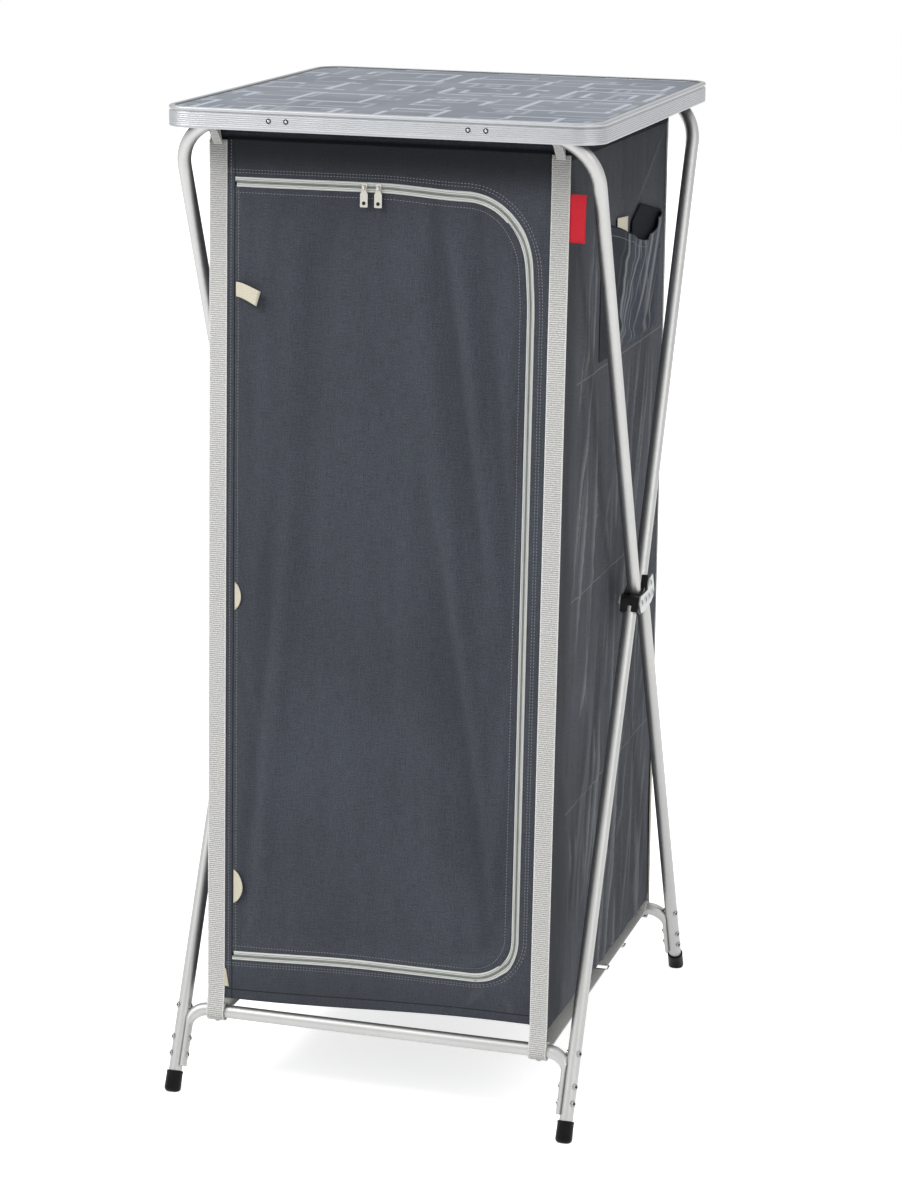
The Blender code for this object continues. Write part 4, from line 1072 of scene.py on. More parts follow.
class CUPBOARD_OT_worktop(bpy.types.Operator):
    """Makes the worktop's board, its reeded edge and the rivets through it"""
    bl_idname = "cupboard.worktop"
    bl_label = "Worktop"

    def execute(self, context):
        sizes = context.scene.cupboard_worktop
        edge_low, edge_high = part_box("worktop_edge")
        half_x, half_y = edge_high.x, edge_high.y
        aluminium = metal("edge_aluminium", sizes.edge, 0.46, 0.52)
        made = bmesh.new()
        carried_round(made, self.section(sizes.reeds, edge_high.z - edge_low.z),
                      half_x, half_y, CORNER_RADIUS, edge_low.z)
        piece("worktop_edge_profile", closed_up(made), "worktop", aluminium,
              ["worktop_edge"], 50)
        board_low, board_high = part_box("worktop_board")
        inset = half_x - board_high.x
        made = bmesh.new()
        profile = [(0.0008, 0), (0, 0.0006), (0, board_high.z - board_low.z)]
        carried_round(made, profile, board_high.x, board_high.y, CORNER_RADIUS - inset,
                      board_low.z, closed=False)
        piece("laminate_board", closed_up(made), "worktop", laminate(sizes),
              ["worktop_board"])
        # A dark strip along the inside of the edge's lip, on the board.
        made = bmesh.new()
        profile = [(0.0076, 0.0001), (0.0076, 0.0009), (0.0104, 0.0006), (0.0112, 0.0001)]
        carried_round(made, profile, half_x, half_y, CORNER_RADIUS, board_high.z)
        piece("worktop_dark_strip", closed_up(made), "worktop", plastic("dark_lip_strip", tone("#17181a")))
        self.rivets(context.scene.cupboard_frame)
        return {"FINISHED"}

    def section(self, reeds, height):
        """Outline of the edge profile: x goes inwards from its face, y goes up."""
        groove, bead = 0.0216, 0.0045
        face = [(0.0006, 0), (0.0001, 0.0008), (0, 0.0020), (0.0001, 0.0036), (0.0006, bead)]
        pitch = (groove - 0.0012 - bead) / reeds
        for i in range(reeds):
            for part, depth in ((0.12, 0.00030), (0.3, 0.00008), (0.5, 0), (0.7, 0.00008),
                                (0.88, 0.00030), (1.0, 0.00062)):
                face.append((depth, bead + pitch * (i + part)))
        face += [(0.0020, groove - 0.0003), (0.0022, groove + 0.0002), (0.0008, groove + 0.0016)]
        face += arc((0.0028, height - 0.0028), 0.0028, pi, -pi / 2, 8)
        face += [(0.0064, height), (0.0070, height - 0.0003), (0.0073, height - 0.0012),
                 (0.0034, height - 0.0012), (0.0034, height - 0.0058), (0.0110, height - 0.0058),
                 (0.0110, height - 0.0073), (0.0034, height - 0.0073), (0.0034, 0.0016),
                 (0.0075, 0.0016), (0.0075, 0)]
        return face

    def rivets(self, sizes):
        """Eight rivets hold the clips under the worktop, each in a small dimple whose shade is
        painted as a dark ring.
        """
        steel = metal("rivet_steel", sizes.steel, 0.16, 0.30)
        # Painted shade: the dark ring stands for the shade in the dimple round each head.
        ring = plastic("rivet_ring_shade", tone("#0b0b0c"))
        heads, rims = bmesh.new(), bmesh.new()
        face_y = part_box("worktop_edge")[1].y
        for side in (-1, 1):
            for clip in (-1, 1):
                for step in (-EDGE_RIVET_APART / 2, EDGE_RIVET_APART / 2):
                    spot = moved(clip * CLIP_X + step, side * (face_y - 0.0002), EDGE_RIVET_Z)
                    spot = spot @ turned(-side * pi / 2, "X")
                    dome(heads, spot, 0.0021, 0.55)
                    disc(rims, 20, 0.0038, 0.0010, spot, 0.0034)
        piece("edge_rivets", heads, "worktop", steel)
        piece("edge_rivet_shade_rims", rims, "worktop", ring)


class CUPBOARD_OT_clips(bpy.types.Operator):
    """Dresses the hooks and saddles under the worktop"""
    bl_idname = "cupboard.clips"
    bl_label = "Clips"

    def execute(self, context):
        black = plastic("moulded_black", context.scene.cupboard_frame.plastic)
        for row, kind in (("front", "hook"), ("rear", "saddle")):
            for side, _ in SIDES:
                node = f"worktop_{row}_{side}_{kind}"
                dressed(f"{row}_{side}_{kind}_moulded", node, "worktop", black,
                        MOULDED_EASE)
        return {"FINISHED"}


class CUPBOARD_OT_hoops(bpy.types.Operator):
    """Makes the two upper hoops and their moulded ends"""
    bl_idname = "cupboard.hoops"
    bl_label = "Upper hoops"

    def execute(self, context):
        sizes = context.scene.cupboard_frame
        tube = metal("tube_aluminium", sizes.aluminium, 0.44, 0.54, (1, 1, 0.06))
        black = bpy.data.materials["moulded_black"]
        for row, body, place in (("front", "upper_front", UPPER_FRONT),
                                 ("rear", "rear_frame", UPPER_REAR)):
            made = bent_tube(sizes.sides, (TUBE_X, TUBE_START),
                             (TUBE_X - BAR_BEND, UPPER_LENGTH - BAR_BEND), (6, 20, 6))
            set_at(made, place)
            piece(f"{row}_hoop", made, body, tube, [f"upper_{row}_frame"])
            for side, _ in SIDES:
                node = f"upper_{row}_{side}_fitting"
                dressed(f"{row}_{side}_hoop_end", node, body, black, MOULDED_EASE)
        return {"FINISHED"}


class CUPBOARD_OT_legs(bpy.types.Operator):
    """Makes the legs, crossbars, foot caps and their rivets"""
    bl_idname = "cupboard.legs"
    bl_label = "Legs"

    def execute(self, context):
        sizes = context.scene.cupboard_frame
        tube = bpy.data.materials["tube_aluminium"]
        black = bpy.data.materials["moulded_black"]
        steel = metal("leg_rivet_steel", shaded(sizes.steel, 0.72), 0.18, 0.30)
        # Painted shade: dark discs on the rivet heads stand for the shadow in their hollows.
        dark = plastic("rivet_hollow_shade", tone("#0c0c0d"))
        rubber = plastic("cap_black", sizes.plastic, 0.12)
        for row, place in (("front", LOWER_FRONT), ("rear", LOWER_REAR)):
            body = f"{row}_legs"
            bar = self.crossbar(sizes.sides, place)
            piece(f"{row}_crossbar_tube", bar, body, tube, [f"{row}_crossbar"])
            rivets, hollow_shades = bmesh.new(), bmesh.new()
            for side, sign in SIDES:
                made = bmesh.new()
                ring = round_start(made, TUBE_RADIUS, sizes.sides,
                                   moved(sign * TUBE_X, 0, TUBE_START))
                run_on(made, ring, (0, 0, LEG_LENGTH - 0.0064 - TUBE_START), 8)
                closed_up(made)
                set_at(made, place)
                piece(f"{row}_{side}_leg_tube", made, body, tube,
                      [f"{row}_{side}_leg"])
                piece(f"{row}_{side}_cap", self.cap(place, sign), body, rubber,
                      [f"{row}_{side}_foot_cap"], 60)
                dressed(f"{row}_{side}_leg_end", f"{row}_{side}_leg_fitting", body, black,
                        MOULDED_EASE)
                self.rivet_heads(rivets, hollow_shades, sizes.rivet, sign)
            for made, name, surface in ((rivets, "rivets", steel), (hollow_shades, "hollow_shades", dark)):
                set_at(made, place)
                piece(f"{row}_leg_{name}", made, body, surface, (), 60)
        return {"FINISHED"}

    def reach(self, height):
        return (PIN_Z - height) / cos(LOWER_LEAN)

    def crossbar(self, sides, place):
        """Bar whose ends are bent down, crushed and shaped over the legs."""
        level, last = self.reach(CROSSBAR_Z), self.reach(CROSSBAR_END_Z)
        thick = TUBE_RADIUS * CRUSHED_SHARE
        end_x = TUBE_X - TUBE_RADIUS - thick + CRUSHED_SINK
        bend = end_x - CROSSBAR_BEND, level + CROSSBAR_BEND
        made = bent_tube(sides, (end_x, last), bend, (14, 14, 8))
        for vertex in made.verts:
            crushed = eased((vertex.co.z - level - 0.35 * CROSSBAR_BEND) / (0.65 * CROSSBAR_BEND))
            side = 1 if vertex.co.x > 0 else -1
            squeeze = 1 - crushed * (1 - CRUSHED_SHARE)
            out = end_x + (side * vertex.co.x - end_x) * squeeze
            vertex.co.y *= 1 + 0.10 * crushed
            away = sqrt(max((TUBE_RADIUS + 0.0002) ** 2 - vertex.co.y ** 2, 0))
            if crushed > 0 and out > TUBE_X - away:
                out = TUBE_X - away
            vertex.co.x = side * out
        set_at(made, place)
        return made

    def cap(self, place, sign):
        """Moulded cap with a rounded end, its sole cut level with the floor."""
        made = bmesh.new()
        mouth, end = LEG_LENGTH - CAP_LENGTH, LEG_LENGTH + CAP_END
        inner = TUBE_RADIUS + 0.0002
        profile = [(inner, mouth), (CAP_RADIUS - 0.0004, mouth), (CAP_RADIUS, mouth + 0.0005),
                   (CAP_RADIUS, mouth + 0.0030), (CAP_RADIUS - 0.0003, mouth + 0.0036)]
        profile += arc((CAP_RADIUS - 0.0065, end - 0.0065), 0.0065, 0, pi / 2, 6)
        profile.append((0, end))
        row = chained(made, [(r, 0, z) for r, z in profile])
        bmesh.ops.spin(made, geom=made.verts[:] + row, cent=(0, 0, 0), axis=(0, 0, 1),
                       dvec=(0, 0, 0), angle=2 * pi, steps=32, use_merge=True)
        merged(made)
        bmesh.ops.translate(made, verts=made.verts, vec=(sign * TUBE_X, 0, 0))
        set_at(made, place)
        bmesh.ops.bisect_plane(made, geom=made.verts[:] + made.edges[:] + made.faces[:],
                               dist=MERGE, plane_co=(0, 0, 0.0001), plane_no=(0, 0, 1),
                               clear_inner=True)
        return closed_up(made)

    def rivet_heads(self, made, hollow_shades, radius, sign):
        """Hollow rivets through the leg and the crossbar's crushed end: the outer heads stand
        a little to the front, the inner ones on the bar. A dark disc on each head is painted
        shade in its hollow."""
        crushed = TUBE_X - TUBE_RADIUS * (1 + 2 * CRUSHED_SHARE) + CRUSHED_SINK
        for height, inner in zip(LEG_RIVETS, (TUBE_X - TUBE_RADIUS, crushed, crushed)):
            outer = moved(sign * TUBE_X, 0, self.reach(height))
            outer = outer @ turned(sign * LEG_RIVET_TURN, "Z") @ moved(sign * TUBE_RADIUS, 0, 0)
            other = moved(sign * inner, 0, self.reach(height))
            for spot, face in ((outer, 1), (other, -1)):
                spot = spot @ turned(sign * face * pi / 2, "Y")
                dome(made, spot, radius, 0.50)
                disc(made, 16, 1.20 * radius, 0.0012, spot, 1.15 * radius)
                disc(hollow_shades, 14, 0.0021, 0.0006, spot @ moved(0, 0, 0.46 * radius))


class CUPBOARD_OT_knuckles(bpy.types.Operator):
    """Dresses the plates and rivets of the two folding knuckles"""
    bl_idname = "cupboard.knuckles"
    bl_label = "Knuckles"

    def execute(self, context):
        sizes = context.scene.cupboard_frame
        steel = metal("pressed_steel", sizes.steel, 0.34, 0.48)
        dark = bpy.data.materials["rivet_hollow_shade"]
        for side, sign in SIDES:
            for layer in ("outer", "inner"):
                dressed(f"{side}_{layer}_plate", f"{layer}_knuckle_plate_{side}", "rear_frame",
                        steel, PRESSED_EASE)
            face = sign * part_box(f"outer_knuckle_plate_{side}")[1 if sign > 0 else 0].x
            # Painted shade: a dark disc on each rivet head stands for the shadow in its hollow.
            made = bmesh.new()
            for y, z in self.pins():
                spot = moved(sign * face, y, PIN_Z + z)
                disc(made, 16, 0.0029, 0.0003, spot @ turned(pi / 2, "Y"))
            piece(f"{side}_rivet_hollow_shades", made, "rear_frame", dark)
        return {"FINISHED"}

    def pins(self):
        """Places of the five rivets: y, and z above the row of four."""
        lock = (PIN_INNER_Y + LOCK_REACH * sin(UPPER_LEAN), LOCK_REACH * cos(UPPER_LEAN))
        return [(y, 0) for y in (-PIN_OUTER_Y, -PIN_INNER_Y, PIN_INNER_Y, PIN_OUTER_Y)] + [lock]


class CUPBOARD_OT_walls(bpy.types.Operator):
    """Makes the cabinet's side and rear cloths, roof, floor and shelves"""
    bl_idname = "cupboard.walls"
    bl_label = "Cabinet walls"

    def execute(self, context):
        sizes = context.scene.cupboard_cloth
        seams = [(1, z + 0.003, -0.235) for z in SHELF_HEIGHTS]
        # A lighter copy of the canvas with its gloss turned down: the lighter colour is painted
        # sheen, standing in for the reflection taken away.
        plain = tuple(c * by for c, by in zip(sizes.canvas, (1.80, 1.69, 1.56)))
        side_cloth = canvas("side_canvas", plain, sizes, rows=seams, fade=0.20, stitch=0.0012,
                            gloss=0.2)
        rear_rows = [(axis, level, -1) for axis, level, _ in seams]
        rear_cloth = canvas("rear_canvas", sizes.canvas, sizes, rows=rear_rows, fade=0.20)
        for side, sign in SIDES:
            self.side(side, sign, side_cloth, sizes)
        self.rear(rear_cloth, sizes)
        self.levels(sizes)
        return {"FINISHED"}

    def bay(self, z):
        """Billow from 0 at a seam to 1 between two seams."""
        levels = (CABINET_BOTTOM,) + SHELF_HEIGHTS + (CABINET_TOP,)
        for low, high in zip(levels, levels[1:]):
            if low <= z <= high:
                return sin(pi * (z - low) / (high - low)) ** 0.7 if low < z < high else 0.0
        return 0.0

    def upright_folds(self, share_across, z, seed):
        """How far a wall stands out of its plane: many upright gathers that run on through
        the seams, lean a little and die away at the corners."""
        hold = max(sin(pi * share_across), 0) ** 0.5
        lean = share_across + 0.05 * sin(3.1 * z + seed) + 0.02 * sin(9.7 * z + 2 * seed)
        ridge = (sin(2 * pi * 5.5 * lean + seed) + 0.7 * sin(2 * pi * 11.3 * lean + 2.3 * seed)
                 + 0.45 * sin(2 * pi * 19.1 * (lean + 0.03 * z) + 4.1 * seed))
        return hold * (0.5 + 0.27 * ridge) * (0.0022 + 0.0052 * self.bay(z))

    def at_seam(self, point):
        level = point.z - lowered(*point)
        return min(abs(level - seam) for seam in (WALL_BOTTOM, WALL_TOP, *SHELF_HEIGHTS)) < 0.006

    def side(self, side, sign, surface, sizes):
        out = CABINET_HALF - 0.0006

        def place(u, v):
            z = WALL_BOTTOM + WALL_TALL * v
            billow = self.upright_folds(u, z, 1.3 if sign > 0 else 2.9)
            if sign > 0 and 1.02 < z < 1.24 and u > 0.28:       # behind the pocket
                billow *= 0.25
            billow *= 1 - 0.6 * eased((z - 1.06) / 0.12)
            y = (2 * u - 1) * (half_depth(z) - WALL_INSET)
            return Vector((sign * (out + billow), y, z + lowered(sign * out, y, z)))

        def flat(u, v):
            return (2 * u - 1) * 0.30, WALL_BOTTOM + WALL_TALL * v

        obj = cloth(f"{side}_wall_cloth", (76, 126, place, flat), surface, [f"{side}_panel"])

        def held(point):
            at_edge = abs(point.y) > half_depth(point.z) - WALL_INSET - 0.004
            return 1.0 if at_edge or self.at_seam(point) else 0.0

        full, tall = 1 + sizes.side_fullness, 1.006

        def cut(point):
            return Vector((sign * out, point.y * full, point.z * tall))

        settle(obj, held, cut, give=0.010)
        for vertex in obj.data.vertices:
            y, z = vertex.co.y, vertex.co.z
            from_pocket = max(-0.11 - y, 1.02 - z, z - 1.245, 0) if sign > 0 else 1
            most = out + 0.0006 + 0.4 * min(from_pocket, max(UNDER_BAND - z, 0))
            vertex.co.x = sign * min(max(sign * vertex.co.x, out - 0.0002), most)
        folds = []
        for count, seed, *ends in (
                (38, 3, (-0.20, 0.25), (0.40, 0.98), (0.05, 0.34), (0.04, 0.18), (0.0045, 0.0100)),
                (30, 7, (-0.22, 0.27), (0.15, 0.98), (-0.15, 0.50), (0.02, 0.07), (0.004, 0.008)),
                (24, 31, (-0.17, 0.27), (0.15, 0.46), (0.0, 0.36), (0.06, 0.20), (0.006, 0.012)),
                (9, 15, (-0.21, -0.12), (1.00, 1.22), (0.0, 0.2), (0.04, 0.12), (0.004, 0.007))):
            folds += crumples(count, seed + sign, *ends)
        folds.append((0.187, 1.280, 1.89, 0.048, 0.011, 0.7))
        creased(finer(obj), folds, lambda co: (co.y, co.z), Vector((sign, 0, 0)), 0.0040, 0.82)

        # Painted shade: darker beside the front strap, towards the top under the worktop, and along
        # the rear edge at the top.
        def shade(co):
            front = eased((-0.215 - co.y) / 0.05)
            rear = eased((co.y - half_depth(co.z) + 0.015) / 0.010) * eased((co.z - 1.12) / 0.18)
            return max(0.44 * front, 0.46 * eased((co.z - 1.14) / 0.17), 0.85 * rear)

        paint_shade(obj, shade)
        gathers(walled(obj, sizes.thickness))

    def rear(self, surface, sizes):
        def flat(u, v):
            return (1 - 2 * u) * CABINET_HALF, WALL_BOTTOM + WALL_TALL * v

        def place(u, v):
            x, z = flat(u, v)
            hold = clamped((min(u, 1 - u) - 0.06) / 0.08)
            out = half_depth(z) + hold * 0.8 * self.upright_folds(u, z, 0.7)
            return Vector((x, out, z + lowered(x, half_depth(z), z)))

        obj = cloth("rear_wall_cloth", (50, 124, place, flat), surface, ["rear_panel"])

        def held(point):
            return 1.0 if abs(point.x) > 0.2200 or self.at_seam(point) else 0.0

        full, tall = 1.018, 1.004

        def cut(point):
            return Vector((point.x * full, half_depth(point.z), point.z * tall))

        settle(obj, held, cut, give=0.008)
        for vertex in obj.data.vertices:
            at = half_depth(vertex.co.z)
            most = at + 0.0008 + 0.4 * max(UNDER_BAND - vertex.co.z, 0)
            vertex.co.y = min(max(vertex.co.y, at - 0.0002), most)
        folds = crumples(40, 5, (-0.19, 0.19), (0.17, 1.16), (-0.12, 0.12), (0.05, 0.22),
                         (0.0045, 0.0085))
        creased(finer(obj), folds, lambda co: (co.x, co.z), Vector((0, 1, 0)), 0.0028)
        gathers(walled(obj, sizes.thickness))

    def levels(self, sizes):
        """Roof cloth, and the cloth-covered boards of the floor and the shelves."""
        inside = canvas("shelf_canvas", shaded(sizes.canvas, 0.9), sizes)
        for node in ("lower_shelf", "middle_shelf", "upper_shelf", "floor_panel"):
            low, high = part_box(node)

            def flat(u, v):
                return low.x + (high.x - low.x) * u, low.y + (high.y - low.y) * v

            def place(u, v):
                x, y = flat(u, v)
                z = (low.z + high.z) / 2
                return Vector((x, y, z + lowered(x, y, z) - 0.0016 * sin(pi * u) * sin(pi * v)))

            made = cloth_grid(24, 28, place, flat)
            obj = piece(f"{node}_board", made, "rear_frame", inside, [node], 60)
            gathers(walled(obj, high.z - low.z - 0.0004))
        low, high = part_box("roof_panel")
        wide, deep = high.x - low.x, high.y - low.y

        def hung_roof(u, v):
            sag = 0.007 * sin(pi * u) ** 0.8 * sin(pi * v) ** 0.8
            ripple = 0.0012 * sin(pi * u) * sin(pi * v) * uneven(u, 0.7 * v)
            return Vector((low.x + wide * u, low.y + deep * v, high.z - 0.0006 - sag + ripple))

        grid = (48, 54, hung_roof, lambda u, v: (wide * u, deep * v))
        roof = cloth("roof_cloth", grid, inside, ["roof_panel"])
        gathers(walled(roof, sizes.thickness))


class CUPBOARD_OT_front(bpy.types.Operator):
    """Makes the front cloth round the door"""
    bl_idname = "cupboard.front"
    bl_label = "Front cloth"

    def execute(self, context):
        sizes = context.scene.cupboard_cloth
        surface = canvas("front_canvas", sizes.canvas, sizes,
                         rows=[(0, HEM_X - 0.0062, 0.02)],
                         creases=((0, HEM_X - 0.0006), (1, 0.0155)),
                         seam_rows=(ZIP_HALF + 0.0056, ZIP_HALF + 0.0094), fade=0.14,
                         stitch=0.00045)
        inner = self.opening(ZIP_HALF - 0.0030)
        along = len(inner)

        def spots(u, v):
            i = round(u * along) % along
            (x, height), (ox, oy) = inner[i]
            return x + (ox - x) * v, height + (oy - height) * v

        def place(u, v):
            x, height = spots(u, v)
            hold = sin(pi * v) if 0 < v < 1 else 0
            strap = clamped((STRAP_X - 0.0140 - abs(x)) / 0.012)
            pull = 0.0016 * hold * strap * (0.5 + 0.5 * uneven(x, 0.6 * height))
            return at_front(x, height, pull)

        made = cloth_grid(along, 10, place, spots, zip_seam)
        merged(made)
        obj = piece("front_cloth", made, "rear_frame", surface, ["front_panel"], 180)
        full = 1.016

        def held(point):
            at = LAID_FLAT @ point
            _, away = zip_seam(at.x, at.y)
            edge = min(CABINET_HALF - abs(at.x), at.y, FRONT_HEIGHT - at.y)
            under_strap = edge < 0.026 and abs(at.x) > 0.21
            return 1.0 if away < ZIP_HALF + 0.001 or under_strap or edge < 0.003 else 0.0

        def cut(point):
            at = LAID_FLAT @ point
            return at_front(at.x * full, FRONT_HEIGHT / 2 + (at.y - FRONT_HEIGHT / 2) * full)

        settle(obj, held, cut, give=0.006, gravity=0.1)
        folds = crumples(9, 11, (0.10, 0.205), (0.02, 0.075), (-0.9, 0.9), (0.015, 0.035),
                         (0.004, 0.008))

        def lay(point):
            at = LAID_FLAT @ point
            return at.x, at.y

        creased(finer(obj), folds, lay, at_front(0, 0, 1) - at_front(0, 0), 0.0020, 0.12)
        # Painted shade: darker towards the top, in the worktop's shadow, and a little towards the
        # foot.
        paint_shade(obj, lambda co: max(0.78 * eased((co.z - 1.278) / 0.055),
                                  0.20 * eased((0.205 - co.z) / 0.06)))
        walled(obj, sizes.thickness)
        hang(obj.data.vertices)
        gathers(obj)
        return {"FINISHED"}

    def opening(self, inset):
        """Points round the door's opening, each with its fellow on the cloth's outer edge."""
        half, tall, side = CABINET_HALF, FRONT_HEIGHT, ZIP_RIGHT + inset
        high, low = ZIP_TOP + inset, ZIP_BOTTOM - inset
        top_x, top_y = ZIP_RIGHT - ZIP_TOP_CORNER, ZIP_TOP - ZIP_TOP_CORNER
        low_x, low_y = ZIP_RIGHT - ZIP_BOTTOM_CORNER, ZIP_BOTTOM + ZIP_BOTTOM_CORNER
        pairs = self.run((HEM_X, high), (top_x, high), (-half, tall), (top_x, tall), 40)
        pairs += self.corner((top_x, top_y), ZIP_TOP_CORNER + inset, pi / 2, (half, tall), 24)
        pairs += self.run((side, top_y), (side, low_y), (half, top_y), (half, low_y), 96)
        pairs += self.corner((low_x, low_y), ZIP_BOTTOM_CORNER + inset, 0, (half, 0), 20)
        pairs += self.run((low_x, low), (HEM_X, low), (low_x, 0), (-half, 0), 40)
        pairs += self.run((HEM_X, low), (HEM_X, high), (-half, 0), (-half, tall), 110)
        return pairs

    def run(self, start, end, outer_start, outer_end, count):
        """Pairs along a straight side, up to the next side's first."""
        return [tuple(tuple(a + (b - a) * i / count for a, b in zip(*ends))
                      for ends in ((start, end), (outer_start, outer_end)))
                for i in range(count)]

    def corner(self, centre, radius, begin, outer, count):
        """Pairs round a quarter turn, whose fellows go square round the cloth's corner."""
        ends = [(centre[0], outer[1]), (outer[0], centre[1])]
        if begin == 0:
            ends.reverse()
        square = self.run(ends[0], outer, ends[0], outer, count // 2)
        square += self.run(outer, ends[1], outer, ends[1], count // 2)
        spots = arc(centre, radius, begin, -pi / 2, count)
        return [(spot, fellow) for spot, (_, fellow) in zip(spots, square)]


class CUPBOARD_OT_door(bpy.types.Operator):
    """Makes the door cloth"""
    bl_idname = "cupboard.door"
    bl_label = "Door"

    def execute(self, context):
        sizes = context.scene.cupboard_cloth
        surface = canvas("door_canvas", sizes.canvas, sizes,
                         rows=[(0, HEM_X + 0.0045, 0)],
                         seam_rows=(-ZIP_HALF - 0.0076,), fade=0.13, grain=1.1,
                         stitch=0.00045)
        inside = ZIP_HALF - 0.0020
        top, bottom, right = ZIP_TOP - inside, ZIP_BOTTOM + inside, ZIP_RIGHT - inside
        above, below = ZIP_TOP_CORNER - inside, ZIP_BOTTOM_CORNER - inside

        def height_at(v):
            ease = 0.16
            if v < ease:
                return bottom + below * (1 - cos(pi / 2 * v / ease))
            if v > 1 - ease:
                return top - above * (1 - cos(pi / 2 * (1 - v) / ease))
            return bottom + below + (top - bottom - above - below) * (v - ease) / (1 - 2 * ease)

        def flat(u, v):
            height = height_at(v)
            edge, radius = (height - bottom, below) if v < 0.5 else (top - height, above)
            inset = radius - sqrt(max(radius ** 2 - max(radius - edge, 0) ** 2, 0))
            return HEM_X + (right - inset - HEM_X) * u, height

        def place(u, v):
            x, height = flat(u, v)
            edge = min((x - HEM_X) / 0.045, (ZIP_RIGHT - x) / 0.035, (top - height) / 0.085,
                       (height - bottom) / 0.06)
            return at_front(x, height, eased(edge) * (0.0058 + 2.3 * self.folds(u, top - height)))

        obj = cloth("door_cloth", (58, 118, place, flat, zip_seam), surface, ["door_flap"], "door")
        full, tall = 1 + sizes.door_fullness, 1.004

        def held(point):
            at = LAID_FLAT @ point
            _, away = zip_seam(at.x, at.y)
            return 1.0 if away > -ZIP_HALF - 0.001 or at.x < HEM_X + 0.002 else 0.0

        def cut(point):
            at = LAID_FLAT @ point
            return at_front(at.x * full, (at.y - FRONT_HEIGHT / 2) * tall + FRONT_HEIGHT / 2)

        settle(obj, held, cut, give=0.0035, gravity=0.3)
        for vertex in obj.data.vertices:
            at = LAID_FLAT @ vertex.co
            vertex.co = at_front(at.x, at.y, max(at.z, -0.0004))

        # Painted shade: darker towards the top, under the worktop, and in the valleys of the folds.
        def shade(co):
            at = LAID_FLAT @ co
            valley = max(-self.folds((at.x - HEM_X) / (right - HEM_X), top - at.y), 0) / 0.004
            return 0.16 * eased((co.z - 1.18) / 0.11) + 0.20 * min(valley, 1)

        paint_shade(finer(obj), shade)
        walled(obj, sizes.thickness)
        hang(obj.data.vertices)
        gathers(obj)
        return {"FINISHED"}

    def folds(self, u, drop):
        """Soft long folds: each runs between two places, given as a share across and how far
        below the top, and has a height and half a width."""
        total = 0.0
        for (u0, d0), (u1, d1), height, width in (
                ((0.685, 0.00), (0.86, 0.50), -0.0040, 0.030),
                ((0.75, 0.00), (0.93, 0.55), 0.0034, 0.034),
                ((0.835, 0.02), (0.96, 0.48), -0.0030, 0.020),
                ((0.60, 0.03), (0.80, 0.60), 0.0022, 0.050),
                ((0.70, 0.46), (0.92, 1.02), -0.0042, 0.034),
                ((0.77, 0.50), (0.96, 0.98), 0.0030, 0.028),
                ((0.61, 0.55), (0.80, 1.05), 0.0022, 0.050),
                ((0.15, 0.45), (0.03, 0.98), -0.0032, 0.030),
                ((0.22, 0.40), (0.09, 1.00), 0.0022, 0.040),
                ((0.33, 0.00), (0.25, 0.45), -0.0016, 0.045),
                ((0.24, 0.00), (0.14, 0.50), 0.0014, 0.040),
                ((0.44, 0.10), (0.42, 0.90), 0.0010, 0.070)):
            share_down = (drop - d0) / (d1 - d0)
            if -0.25 < share_down < 1.25:
                fade = eased(min(share_down + 0.25, 1.25 - share_down) / 0.45)
                away = (u - u0 - (u1 - u0) * share_down) / width
                total += height * fade * 2.718 ** (-away * away)
        return total


